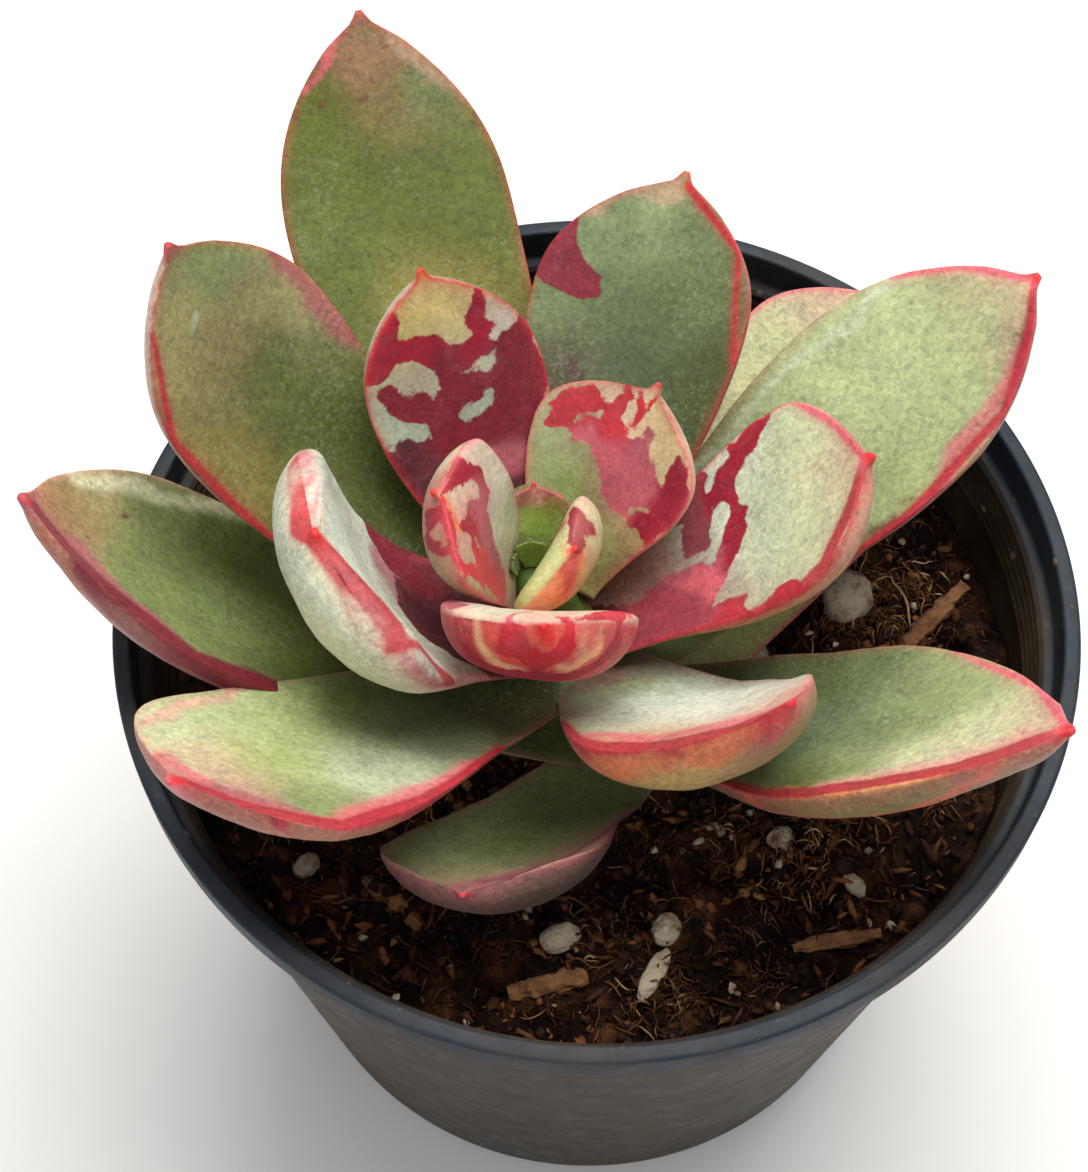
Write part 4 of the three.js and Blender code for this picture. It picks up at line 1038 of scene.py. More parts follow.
            wash(UPPER, "wine", 1.2, (0.4, -0.98, 0.4), (0.7, -0.95, 0.6), (0.9, -0.85, 0.6)),
            wash(UPPER, "mauve", 1.8, (0.75, -0.85, 0.5), (0.92, -0.6, 0.6)),
            wash(UPPER, "cream", 0.9, (0.6, 1.0, 0.3), (0.9, 0.98, 0.4)),
            scar(UPPER, (0.79, 0.48, 0.4), (0.8, 0.44, 0.2)),
            scar(UPPER, (0.88, -0.1, 0.3)),
            scar(UPPER, (0.57, 0.75, 0.4)),
            scar(UPPER, (0.72, 0.55, 0.15)),
        ]),
    "leaf_right_hidden": look(
        [(0.5, 0, "lime"), (0.75, -0.5, "lime/bloom/lime"), (0.8, 0.4, "lime/bloom/lime"),
         (0.9, -0.4, "cream/rose")],
        [(0.5, 0, "mint")], edge=0.35, edge_tone="pink", tip=3.0),
    "leaf_front_low": look(
        [(0.3, 0, "fern/sage"), (0.5, 0.3, "fern/sage"), (0.62, 0.5, "sage/pale"), (0.6, -0.5, "mauve/sage"),
         (0.78, 0, "mauve/pale"), (0.6, 0.95, "pale/fern")],
        [(0.4, 0, "wine"), (0.6, -0.6, "moss/wine"), (0.8, -0.3, "wine/slate/wine"),
         (0.92, 0.3, "wine/slate/mauve")],
        edge=0.1, edge_tone="mauve", tip_tone="mauve", tip=2.0, marks=[
            wash(UPPER, "mauve", 1.8, (0.93, 0.7, 0.6), (0.88, 0.2, 0.9), (0.74, -0.2, 1.2),
                 (0.62, -0.7, 1.0), (0.45, -0.98, 0.6)),
            wash(UPPER, "wine/mauve", 0.9, (0.8, 0.0, 0.2), (0.66, -0.6, 0.4), (0.45, -0.98, 0.6)),
            wash(LOWER, "mint", 0.8, (0.68, 0.42, 0.3), (0.72, 0.34, 0.3)),
        ]),
}


def stroke_reach(x, y, stations):
    """How far inside a stroke each place lies, in millimetres: its radius less the distance to it."""
    reach = np.full(x.shape, -FAR)
    for (x0, y0, r0), (x1, y1, r1) in zip(stations, stations[1:] or stations):
        dx = x1 - x0
        dy = y1 - y0
        share = np.clip(((x - x0) * dx + (y - y0) * dy) / max(dx * dx + dy * dy, 1e-9), 0, 1)
        away = np.hypot(x - x0 - share * dx, y - y0 - share * dy)
        reach = np.maximum(reach, r0 + (r1 - r0) * share - away)
    return reach


def blend(under, share, tone):
    """A colour laid over others by a share at each point."""
    return under + share[..., None] * (np.array(tone) - under)


def spread_tones(x, y, places, size):
    """Tones between a few places, each weighing by the inverse fourth power of its softened distance."""
    total = np.zeros(x.shape + (3,))
    weights = np.zeros(x.shape)
    for place_x, place_y, tone in places:
        weight = ((x - place_x) ** 2 + (y - place_y) ** 2 + TONE_SOFTNESS * size) ** -2.0
        total += weight[..., None] * tone
        weights += weight
    return total / weights[..., None]


def paint_leaf(piece, leaf, t, v, above):
    """Colours and distances at each point of a leaf, from its look and its strokes.

    Tones, washes, marbling and scars lie on a skin bent by noise, so their edges wander. The
    margin's lines lie on the skin as it is. A distance is positive inside.
    """
    tones = bpy.context.scene.echeveria_leaves
    style = LOOKS[leaf["name"]]
    outline = leaf_outline(leaf, t)[:, None]
    x = t[:, None] * leaf["length"] + 0 * v
    y = outline * leaf["width"] / 2 * v
    edge_t = np.linspace(0, 1, EDGE_STEPS)
    edge_y = leaf_outline(leaf, edge_t) * leaf["width"] / 2
    inwards = np.full(x.shape, FAR)
    for edge_x, reach in zip(edge_t * leaf["length"], edge_y):
        inwards = np.minimum(inwards, np.hypot(x - edge_x, reach - np.abs(y)))
    drop = FLANK_SHARE * leaf["thick"] * np.minimum(1, outline) ** 0.6 * hanging(v)
    inwards = np.where(above, inwards, np.hypot(inwards, MARGIN_SHARE * drop))
    from_tip = np.hypot(leaf["length"] - x, y)
    flat = np.stack([x, y, np.where(above, 0.0, 40.0) + leaf["turn"]], -1)
    size = min(1.0, leaf["width"] / FULL_WANDER_WIDTH)
    bent_x = x + size * (1.3 * layered_noise(flat / 5.0, 2, 21) + 0.5 * layered_noise(flat / 1.7, 2, 22))
    bent_y = y + size * (1.0 * layered_noise(flat / 5.0, 2, 23) + 0.4 * layered_noise(flat / 1.7, 2, 24))

    def tone(key):
        """The mean of the tones that a key names."""
        return np.mean([getattr(tones, part) for part in key.split("/")], 0)

    def placed(along, across):
        """Millimetres along and across the leaf for a place given as t and v."""
        return along * leaf["length"], across * float(np.interp(along, edge_t, edge_y))

    def at_points(grid):
        """A grid's values in the order of the mesh's points, with the means of both end rings."""
        rows = grid.reshape(-1, *grid.shape[2:])
        return np.concatenate([rows, grid[:1].mean(1), grid[-1:].mean(1)])

    faces = [
        spread_tones(bent_x, bent_y, [(*placed(p, q), tone(key)) for p, q, key in style[face]], size)
        for face in (UPPER, LOWER)
    ]
    skin = np.where(above[..., None], *faces)
    colours = {
        "tone": blend(skin, smooth(1.3 - from_tip / style["tip"]), tone(style["tip_tone"])),
        "flush_tone": tone("crimson") + 0 * skin,
        "rim_tone": tone(style["edge_tone"]) + 0 * skin,
    }
    distances = {
        "flush": np.full(x.shape, OUTSIDE),
        "rim": style["edge"] - inwards - 0.6 * smooth(0.6 - t[:, None] / 0.5),
        "scar": np.full(x.shape, OUTSIDE),
    }
    for mark in style["marks"]:
        stations = [(*placed(p, q), radius) for p, q, radius in mark["places"]]
        if mark["kind"] in ("line", "bare"):
            reach = stroke_reach(x, y, stations)
            reach = np.where(above, reach, reach - LINE_SHARE * drop)
        else:
            reach = stroke_reach(bent_x, bent_y, stations)
        reach = np.where(above == (mark["face"] == UPPER), reach, OUTSIDE)
        colour_name, strength, distance_name, sign = STROKES[mark["kind"]]
        if colour_name:
            share = smooth(reach / mark["soft"] + 1.0) * strength
            colours[colour_name] = blend(colours[colour_name], share, tone(mark["tone"]))
        if sign > 0:
            distances[distance_name] = np.maximum(distances[distance_name], reach)
        elif sign < 0:
            distances[distance_name] = np.minimum(distances[distance_name], -reach)
    point = smooth(1.5 - from_tip / leaf["mucro"])
    colours["rim_tone"] = blend(colours["rim_tone"], point, tone("scarlet"))
    for name, grid in colours.items():
        set_colours(piece, name, at_points(grid))
    for name, grid in distances.items():
        set_values(piece, name, at_points(grid))


def add_leaf(leaf, material):
    """One leaf: a closed grid of its skin, a little uneven, with its paint.

    The grid stops just short of the point, where a fan closes it. The skin is moved outwards, up
    above and down below, by two sizes of noise, which die out towards root and tip.
    """
    big = leaf["length"] > 20
    steps = 110 if big else 50
    strips = 34 if big else 18
    t = np.linspace(0, 1, steps) ** 0.92 * (1 - 0.35 * leaf["mucro"] / leaf["length"])
    turn = np.arange(2 * strips) * math.pi / strips
    v = np.tile(-np.cos(turn), (steps, 1))
    above = np.tile(turn <= math.pi, (steps, 1))
    rings = leaf_surface(leaf, t, v, above)
    uneven = 0.2 * layered_noise(rings / 6.5, 2, 3) + 0.04 * layered_noise(rings / 1.4, 2, 4)
    uneven *= smooth(4 * t)[:, None] * smooth(12 * (1 - t))[:, None]
    rings += uneven[..., None] * leaf_spine(leaf, t)[2][:, None] * np.where(above, 1, -1)[..., None]
    points, quads, triangles = closed_tube(rings)
    piece = make_mesh(leaf["name"].replace("leaf_", "skin_"), points, quads, triangles)
    paint_leaf(piece, leaf, t, v, above)
    finish_piece(piece, material, leaf["slot"], leaf["name"])


class ECHEVERIA_OT_leaves(bpy.types.Operator):
    """Adds the twenty leaves of the rosette with their marbling, margins and bloom"""
    bl_idname = "echeveria.leaves"
    bl_label = "Add leaves"

    def execute(self, context):
        outer = leaf_material("waxy outer leaf", 1.5, 1.9, 380.0, 0.44)
        heart = leaf_material("marbled heart leaf", 1.1, 2.0, 420.0, 0.38)
        for leaf in LEAVES:
            add_leaf(leaf, heart if leaf["slot"] == HEART else outer)
        return {"FINISHED"}


class ECHEVERIA_OT_stem(bpy.types.Operator):
    """Adds the short stem with its leaf scars"""
    bl_idname = "echeveria.stem"
    bl_label = "Add stem"

    def execute(self, context):
        share = np.linspace(0, 1, 90)
        centre, radius = stem_curve(share)
        angle = circle(48)
        across = np.stack([np.cos(angle), np.sin(angle), 0 * angle], -1)
        rings = centre[:, None] + radius[:, None, None] * across
        rough = layered_noise(rings / 2.2, 3, 5)
        scars = np.maximum(0, np.sin(rings[..., 2] * 2.1 + 2 * angle)) ** 3
        rings += (0.16 * rough - 0.18 * scars)[..., None] * across
        dome = np.sqrt(np.clip(1 - ((share - 0.9) / 0.1).clip(0) ** 2, 0.001, 1))
        rings = centre[:, None] + (rings - centre[:, None]) * dome[:, None, None]
        piece = make_mesh("stem_skin", *closed_tube(rings))
        finish_piece(piece, stem_material(), "stem_skin", "stem")
        return {"FINISHED"}


def stem_material():
    """Stem skin with cork-like streaks: tan at the foot, yellow-green above and dark green in the heart."""
    material, graph, shader, place = new_material("stem skin")
    streak = graph.noise(place, 300.0, 4.0, 0.6)
    height = graph.node("ShaderNodeSeparateXYZ", {"Vector": place}).outputs[2]
    foot = graph.mix(graph.step(streak, 0.4, 0.6), linear("#a9ac4e"), linear("#a07a50"))
    base = graph.mix(graph.step(height, 0.074, 0.079), foot, linear("#3f5a1c"))
    skin = mottled(graph, place, base, 900.0, 0.6)
    set_shader(graph, shader, Base_Color=skin["Color"], Roughness=graph.step(streak, 0.2, 0.8, 0.5, 0.75),
               Normal=bump(graph, streak, 0.0004))
    return material


def random_source(seed):
    """Numbers between 0 and 1, drawn as the soil's own rule draws them (mulberry32)."""
    state = seed
    while True:
        state = (state + 0x6D2B79F5) & 0xFFFFFFFF
        mixed = ((state ^ state >> 15) * (1 | state)) & 0xFFFFFFFF
        mixed = ((mixed + ((mixed ^ mixed >> 7) * (61 | mixed) & 0xFFFFFFFF)) & 0xFFFFFFFF) ^ mixed
        yield (mixed ^ mixed >> 14) / 4294967296


def soil_lumps():
    """The soil's wide lumps: x, y, height and spread of each."""
    draw = random_source(SOIL_SEED)
    rows = []
    for _ in range(SOIL_LUMPS):
        radius = SOIL_LUMP_REACH * math.sqrt(next(draw))
        angle = 2 * math.pi * next(draw)
        height = SOIL_LUMP_HEIGHT * (0.4 + 0.6 * next(draw))
        height *= -0.7 if next(draw) < 0.4 else 1
        spread = SOIL_LUMP_SPREAD * (0.6 + 0.8 * next(draw))
        rows.append((radius * math.cos(angle), radius * math.sin(angle), height, spread))
    return np.array(rows)


LUMPS = soil_lumps()


def pot_radius(z):
    """Outer radius of the pot at a height, under its rim band."""
    return np.interp(z, [0, POT_HEIGHT - RIM_BAND], [BASE_RADIUS, BODY_TOP_RADIUS])


def soil_height(x, y):
    """Height of the soil: its level plus a bell curve for each lump, lower at the wall."""
    outward = np.hypot(x, y) / pot_radius(SOIL_LEVEL)
    total = np.zeros(np.shape(x))
    for lump_x, lump_y, height, spread in LUMPS:
        total = total + height * np.exp(-((x - lump_x) ** 2 + (y - lump_y) ** 2) / spread ** 2)
    return SOIL_LEVEL + total - 1.2 * smooth((outward - 0.75) / 0.25)


def ground_noise(x, y, size, layers, seed):
    """Layered noise over the ground, whose broadest lumps are about as wide as size."""
    return layered_noise(np.stack([x, y, 0 * x], -1) / size, layers, seed)


def clod_height(x, y):
    """Height of the soil with its clods: rounded caps of random size, and crumbly noise over them."""
    draw = np.random.default_rng(SOIL_SEED)
    away = CLOD_REACH * np.sqrt(draw.random(CLODS))
    angle = 2 * np.pi * draw.random(CLODS)
    size = random_sizes(draw, CLODS, 0.7, 2.4, 2.4)
    lift = np.zeros(np.shape(x))
    for clod_x, clod_y, radius in zip(away * np.cos(angle), away * np.sin(angle), size):
        square = 1 - ((x - clod_x) ** 2 + (y - clod_y) ** 2) / radius ** 2
        lift = np.maximum(lift, 0.75 * radius * np.sqrt(np.maximum(square, 0)))
    return soil_height(x, y) - 0.9 + 0.8 * lift + 0.55 * ground_noise(x, y, 1.5, 4, 8)


def random_sizes(draw, shape, least, more, power=1.0):
    """Random sizes from least to least + more. A power above 1 makes most of them small."""
    return least + more * draw.random(shape) ** power


def scattered(template, places, sizes, turns):
    """Copies of a template (points, 3), scaled by sizes, turned by unit quaternions and placed."""
    w, x, y, z = turns.T
    rotation = np.stack([
        1 - 2 * (y * y + z * z), 2 * (x * y - w * z), 2 * (x * z + w * y),
        2 * (x * y + w * z), 1 - 2 * (x * x + z * z), 2 * (y * z - w * x),
        2 * (x * z - w * y), 2 * (y * z + w * x), 1 - 2 * (x * x + y * y),
    ], -1).reshape(-1, 3, 3)
    scaled = template[None] * sizes[:, None]
    return np.einsum("nij,nvj->nvi", rotation, scaled) + places[:, None]


def lumpy_ball(rows, around, knob, seed):
    """Points, quads and triangles of a unit ball whose radius varies with lattice noise."""
    polar = np.linspace(0, np.pi, rows + 2)[1:-1]
    angle = circle(around)
    rings = np.stack([
        np.sin(polar)[:, None] * np.cos(angle), np.sin(polar)[:, None] * np.sin(angle),
        -np.cos(polar)[:, None] + 0 * angle,
    ], -1)
    points, quads, triangles = closed_tube(rings)
    points[-2] = (0, 0, -1)
    points[-1] = (0, 0, 1)
    points = points * (1 + knob * lattice_noise(points * 1.9 + 5, seed))[:, None]
    return points, quads, triangles


def random_turns(draw, count):
    """Random unit quaternions, one to a row."""
    turns = draw.normal(size=(count, 4))
    return turns / np.linalg.norm(turns, axis=1, keepdims=True)


def soil_places(draw, count, reach):
    """Random places on the soil, at even density, moved aside where the stem stands."""
    away = reach * np.sqrt(draw.random(count))
    angle = 2 * np.pi * draw.random(count)
    x = away * np.cos(angle)
    y = away * np.sin(angle)
    near_stem = np.hypot(x - STEM[1, 0], y - STEM[1, 1]) < STEM_CLEARANCE
    return np.where(near_stem, x + STEM_DETOUR[0], x), np.where(near_stem, y + STEM_DETOUR[1], y)


def mixed_tints(draw, x, y, colours, shares):
    """A tint for each copy, drawn from three colours by shares and made uneven by chance and patches."""
    count = len(x)
    pick = draw.choice(3, size=count, p=shares)
    tints = np.array(colours)[pick]
    patchy = smooth(0.5 + 0.9 * ground_noise(x, y, 6.0, 2, 5))
    return tints * random_sizes(draw, (count, 1), 0.5, 0.8) * (0.5 + 0.9 * patchy)[:, None]


def add_scatter(name, draw, extents, template_seed, lift, colours, shares, material, slot):
    """Many small lumps of one kind on the soil, merged in one piece with a tint for each.

    A lump is a coarse uneven ball with a row of extents, in millimetres along its three axes.
    """
    count = len(extents)
    template, quads, triangles = lumpy_ball(3, 6, 0.55, template_seed)
    x, y = soil_places(draw, count, CRUMB_REACH)
    tints = mixed_tints(draw, x, y, colours, shares)
    places = np.stack([x, y, clod_height(x, y) + lift], -1)
    points = scattered(template, places, extents, random_turns(draw, count))
    piece = repeated_mesh(name, points, quads, triangles)
    set_colours(piece, "tint", np.repeat(tints, len(template), axis=0))
    finish_piece(piece, material, slot)


def add_strands(name, draw, x, y, heading, length, curl, hump, radius, tints, material):
    """Fibres: thin three-sided tubes on curling paths that arch over the soil.

    A path runs level at a heading that turns by curl, with a sine wave on top, and rises above
    the clods by hump times the sine of its share.
    """
    steps = 7
    count = len(x)
    s = np.linspace(0, 1, steps)
    wave = draw.normal(0, 0.35, (count, 1)) * np.sin(2 * np.pi * (s + draw.random((count, 1))) * 1.3)
    bearing = heading[:, None] + curl[:, None] * s + wave
    path_x = x[:, None] + np.cumsum(np.cos(bearing), 1) * length[:, None] / steps
    path_y = y[:, None] + np.cumsum(np.sin(bearing), 1) * length[:, None] / steps
    inside = np.minimum(1, STRAND_END_REACH / np.hypot(path_x, path_y))
    path_x *= inside
    path_y *= inside
    ground = clod_height(path_x, path_y)
    level = 0.5 * ground + 0.5 * ground.mean(1, keepdims=True)
    path_z = np.maximum(level, ground - 0.2) + 0.05 + hump[:, None] * np.sin(np.pi * s)
    path = np.stack([path_x, path_y, path_z], -1)
    side = np.stack([-np.sin(bearing), np.cos(bearing), 0 * bearing], -1)
    taper = (radius[:, None] * (0.4 + 0.6 * np.sin(np.pi * (0.1 + 0.8 * s))))[..., None]
    corners = [side * taper, np.array([0, 0, 1]) * taper, -side * taper]
    rings = np.stack([path + corner for corner in corners], 2)
    last = 3 * (steps - 1)
    caps = np.array([[0, 2, 1], [last, last + 1, last + 2]])
    piece = repeated_mesh(name, rings.reshape(count, -1, 3), ring_faces(steps, 3), caps)
    set_colours(piece, "tint", np.repeat(tints, 3 * steps, axis=0))
    finish_piece(piece, material, "soil_mix")


def add_fibres(draw, count, colours, material):
    """Single coir fibres, long and short, all over the soil."""
    x, y = soil_places(draw, count, FIBRE_REACH)
    add_strands(
        "coir_fibres", draw, x, y, heading=2 * np.pi * draw.random(count),
        length=random_sizes(draw, count, 1.2, 5.0, 2), curl=draw.normal(0, 1.1, count),
        hump=random_sizes(draw, count, 0.1, 0.8, 3), radius=random_sizes(draw, count, 0.04, 0.11, 2),
        tints=0.8 * mixed_tints(draw, x, y, colours, (0.5, 0.4, 0.1)), material=material,
    )


def add_tufts(draw, tufts, colours, material):
    """Matted tufts: many short strands round one place, lying much the same way."""
    middle_x, middle_y = soil_places(draw, tufts, TUFT_REACH)
    lie = 2 * np.pi * draw.random(tufts)
    spread = random_sizes(draw, tufts, 0.8, 1.4)
    shade = random_sizes(draw, tufts, 0.7, 0.6)
    count = tufts * STRANDS_TO_A_TUFT
    owner = np.repeat(np.arange(tufts), STRANDS_TO_A_TUFT)
    x = middle_x[owner] + draw.normal(0, 1, count) * spread[owner]
    y = middle_y[owner] + draw.normal(0, 1, count) * spread[owner]
    tints = mixed_tints(draw, x, y, colours, (0.65, 0.15, 0.2)) * shade[owner][:, None]
    add_strands(
        "coir_tufts", draw, x, y, heading=lie[owner] + draw.normal(0, 0.7, count),
        length=random_sizes(draw, count, 1.2, 2.4), curl=draw.normal(0, 0.9, count),
        hump=random_sizes(draw, count, 0.1, 1.2, 1.5), radius=random_sizes(draw, count, 0.05, 0.13, 2),
        tints=tints, material=material,
    )


def add_straws(draw, count, colours, material):
    """A few pale straws, straighter and thicker than the fibres."""
    x, y = soil_places(draw, count, STRAW_REACH)
    add_strands(
        "pale_straws", draw, x, y, heading=2 * np.pi * draw.random(count),
        length=random_sizes(draw, count, 4.0, 6.0), curl=draw.normal(0, 0.3, count),
        hump=random_sizes(draw, count, 0.4, 0.9), radius=random_sizes(draw, count, 0.1, 0.14),
        tints=mixed_tints(draw, x, y, colours, (0.6, 0.3, 0.1)), material=material,
    )


def crumb_material(name, grain, depth):
    """Matt crumb whose tint comes from the piece, broken up by noise."""
    material, graph, shader, place = new_material(name)
    skin = mottled(graph, place, graph.attribute("tint", "Color"), grain, 1.1)
    damp = graph.noise(place, 260.0, 2.0)
    set_shader(graph, shader, Base_Color=skin["Color"], Roughness=graph.step(damp, 0.35, 0.65, 0.6, 0.95),
               Normal=bump(graph, skin["Height"], depth))
    set_shader(graph, shader, Specular_IOR_Level=0.15)
    return material


def soil_material():
    """Peat: nearly black with painted shade in its hollows and brown on its clods, with rusty patches of
    coir.
    """
    material, graph, shader, place = new_material("peat and coir")
    soil = bpy.context.scene.echeveria_soil
    rusty = graph.noise(place, 150.0, 6.0, 0.7, 0.6)
    raised = graph.attribute("raised")
    # In the hollows the peat is darkened to a fifth: painted shade between the clods
    peat = graph.mix(raised, tuple(0.2 * part for part in soil.peat), tuple(soil.peat))
    shown = graph.math("MULTIPLY", graph.step(rusty, 0.46, 0.62), graph.step(raised, 0.2, 0.8, 0.35, 0.9))
    mixed = graph.mix(shown, peat, tuple(soil.coir))
    skin = mottled(graph, place, mixed, 1700.0, 1.8)
    fibre = graph.noise(place, 1100.0, 5.0, 0.75, 1.5)
    set_shader(graph, shader, Base_Color=skin["Color"], Roughness=graph.step(rusty, 0.3, 0.7, 0.72, 0.97),
               Normal=bump(graph, fibre, 0.001))
    set_shader(graph, shader, Specular_IOR_Level=0.15)
    return material


def add_bed():
    """The bed of soil: rings from the wall to the middle at the height of the clods, over a foot.

    Its points hold how far they are raised above the hollows, from 0 to 1, by which the soil's material
    paints shade into the hollows.
    """
    wall = pot_radius(SOIL_LEVEL - 1) - WALL - 0.1
    foot = pot_radius(FLOOR) - WALL - 2 * GAP
    angle = circle(360)
    away = np.linspace(wall, 0.4, 130)[:, None]
    x = away * np.cos(angle)
    y = away * np.sin(angle)
    top = clod_height(x, y)
    bottom = np.stack([foot * np.cos(angle), foot * np.sin(angle), 0 * angle + FLOOR + GAP], -1)
    rings = np.concatenate([bottom[None], np.stack([x, y, top], -1)])
    piece = make_mesh("soil_mix", *closed_tube(rings))
    raised = np.concatenate([np.zeros((1, len(angle))), smooth((top - soil_height(x, y) + 0.8) / 2.2)])
    set_values(piece, "raised", np.concatenate([raised.ravel(), [0.0], raised[-1:].mean(1)]))
    finish_piece(piece, soil_material(), "soil_mix", "soil")


class ECHEVERIA_OT_soil(bpy.types.Operator):
    """Adds the soil with its clods, crumbs, chips and fibres"""
    bl_idname = "echeveria.soil"
    bl_label = "Add soil"

    def execute(self, context):
        soil = context.scene.echeveria_soil
        add_bed()
        draw = np.random.default_rng(SOIL_SEED + 1)
        matt = crumb_material("peat crumb", 1800.0, 0.0003)
        fibrous = crumb_material("coir fibre", 1200.0, 0.0001)
        chalk = perlite_material()
        dark = (soil.peat, soil.coir, soil.bark)
        pale = (soil.straw, soil.bark, soil.coir)
        matted = (soil.coir, soil.straw, soil.bark)
        white = (soil.perlite,) * 3
        extents = random_sizes(draw, (soil.crumbs, 1), 0.22, 0.75, 3)
        extents = extents * random_sizes(draw, (soil.crumbs, 3), 0.45, 0.9)
        add_scatter("peat_crumbs", draw, extents, 4, 0.1, dark, (0.66, 0.3, 0.04), matt, "soil_mix")
        long = random_sizes(draw, (soil.chips, 1), 0.4, 1.1, 2)
        extents = long * np.array([1.0, 0.4, 0.2]) * random_sizes(draw, (soil.chips, 3), 0.6, 0.8)
        add_scatter("coir_chips", draw, extents, 9, 0.25, dark, (0.3, 0.58, 0.12), fibrous, "soil_mix")
        extents = random_sizes(draw, (soil.grit, 3), 0.25, 0.35)
        add_scatter("perlite_crumbs", draw, extents, 2, 0.35, white, (1, 0, 0), chalk, "perlite_grain")
        add_fibres(draw, soil.fibres, dark, fibrous)
        add_tufts(draw, soil.tufts, matted, fibrous)
        add_straws(draw, soil.straws, pale, fibrous)
        return {"FINISHED"}


def perlite_material():
    """Chalky grain: off-white, soiled in patches, with fine pits."""
    material, graph, shader, place = new_material("perlite")
    soil = bpy.context.scene.echeveria_soil
    dirt = graph.step(graph.noise(place, 420.0, 4.0, 0.65), 0.44, 0.72)
    base = graph.mix(dirt, tuple(soil.perlite), tuple(soil.coir))
    skin = mottled(graph, place, base, 2600.0, 0.4)
    pits = graph.noise(place, 2200.0, 3.0, 0.6)
    set_shader(graph, shader, Base_Color=skin["Color"], Roughness=graph.step(dirt, 0.0, 1.0, 0.85, 0.97),
               Normal=bump(graph, pits, 0.0003))
    return material


class ECHEVERIA_OT_perlite(bpy.types.Operator):
    """Adds the larger grains of perlite"""
    bl_idname = "echeveria.perlite"
    bl_label = "Add perlite"

    def execute(self, context):
        chalk = perlite_material()
        ball, quads, triangles = lumpy_ball(26, 36, 0.0, 0)
        for i, (x, y, long, wide, high, turn) in enumerate(PERLITE):
            rough = 0.12 * layered_noise(ball * 1.7 + 3 * i, 4, i)
            points = ball * (1 + rough)[:, None] * np.array([long, wide, high])
            angle = math.radians(turn)
            along = (math.cos(angle), math.sin(angle), 0)
            across = (-math.sin(angle), math.cos(angle), 0)
            points = points @ np.array([along, across, (0, 0, 1)])
            points = points + np.array([x, y, soil_height(x, y) + 0.35 * high])
            piece = make_mesh(f"perlite_grain_{i + 1}", points, quads, triangles)
            finish_piece(piece, chalk, "perlite_grain", f"perlite_{i + 1}")
        return {"FINISHED"}


def bark_material():
    """Raw bark: orange-brown, streaked along its grain."""
    material, graph, shader, place = new_material("bark sliver")
    soil = bpy.context.scene.echeveria_soil
    streak = graph.noise(place, 500.0, 5.0, 0.65)
    base = graph.mix(graph.step(streak, 0.35, 0.65), tuple(soil.coir), tuple(soil.bark))
    skin = mottled(graph, place, base, 1500.0, 0.8)
    set_shader(graph, shader, Base_Color=skin["Color"], Roughness=graph.step(streak, 0.2, 0.8, 0.7, 0.9),
               Normal=bump(graph, streak, 0.0006))
    return material


class ECHEVERIA_OT_bark(bpy.types.Operator):
    """Adds the slivers of bark"""
    bl_idname = "echeveria.bark"
    bl_label = "Add bark"

    def execute(self, context):
        fibrous = bark_material()
        for i, (start, end, lift, radius) in enumerate(BARK):
            first = np.array([*start, soil_height(*start) + 0.3])
            last = np.array([*end, soil_height(*end) + lift])
            ahead = (last - first) / np.linalg.norm(last - first)
            across = np.array([-ahead[1], ahead[0], 0]) / np.hypot(ahead[0], ahead[1])
            up = np.cross(ahead, across)
            t = np.linspace(0, 1, 40)[:, None, None]
            angle = circle(24)[None, :, None]
            size = radius * (0.35 + 0.65 * np.sin(np.pi * (0.1 + 0.8 * t)))
            rings = first + t * (last - first) + size * (np.cos(angle) * across + 0.6 * np.sin(angle) * up)
            rough = layered_noise(rings / np.array([0.9, 0.9, 0.5]), 4, i)[..., None]
            ridges = 0.1 * np.sin(7 * angle + 3 * t) + 0.3 * radius * rough
            rings = rings + ridges * (np.cos(angle) * across + np.sin(angle) * up)
            piece = make_mesh(f"bark_sliver_{i + 1}", *closed_tube(rings))
            finish_piece(piece, fibrous, "bark_sliver", f"bark_{i + 1}")
        return {"FINISHED"}


def rounded(corners):
    """A profile whose corners (r, z, radius) are rounded by quarter-like arcs of five points."""
    points = []
    count = len(corners)
    for i, (r, z, radius) in enumerate(corners):
        here = np.array([r, z])
        if radius == 0:
            points.append(here)
            continue
        before = np.array(corners[i - 1][:2]) - here
        after = np.array(corners[(i + 1) % count][:2]) - here
        start = here + before / np.linalg.norm(before) * radius
        end = here + after / np.linalg.norm(after) * radius
        for s in np.linspace(0, 1, 5):
            points.append((1 - s) ** 2 * start + 2 * s * (1 - s) * here + s ** 2 * end)
    return np.array(points)


def pot_profile(rib_depth):
    """The pot's section from the middle of its underside, up outside, over the rim and down inside."""
    foot = POT_HEIGHT - RIM_BAND
    corners = [
        (BASE_RADIUS - 5.0, 0.5, 0.3),
        (BASE_RADIUS - 4.4, 0.0, 0.2),
        (BASE_RADIUS, 0.0, 1.3),
        (BODY_TOP_RADIUS, foot, 0.3),
        (RIM_RADIUS - 0.1, foot, 0.35),
        (RIM_RADIUS, POT_HEIGHT, 0.5),
        (RIM_RADIUS - RIM_LIP, POT_HEIGHT, 0.4),
    ]
    inner = RIM_RADIUS - RIM_LIP - 0.2
    corners.append((inner, foot - 0.2, 0.4))
    for i in range(RIB_COUNT):
        z = foot - 1 - i * RIB_PITCH
        radius = float(pot_radius(z)) - WALL
        corners.append((radius, z + 0.5 * RIB_PITCH, 0.15))
        corners.append((radius - rib_depth, z + 0.12 * RIB_PITCH, 0.12))
        corners.append((radius, z - 0.25 * RIB_PITCH, 0.15))
    corners.append((float(pot_radius(FLOOR)) - WALL, FLOOR, 0.8))
    return np.concatenate([[[0.6, 0.5]], rounded(corners), [[0.6, FLOOR]]])


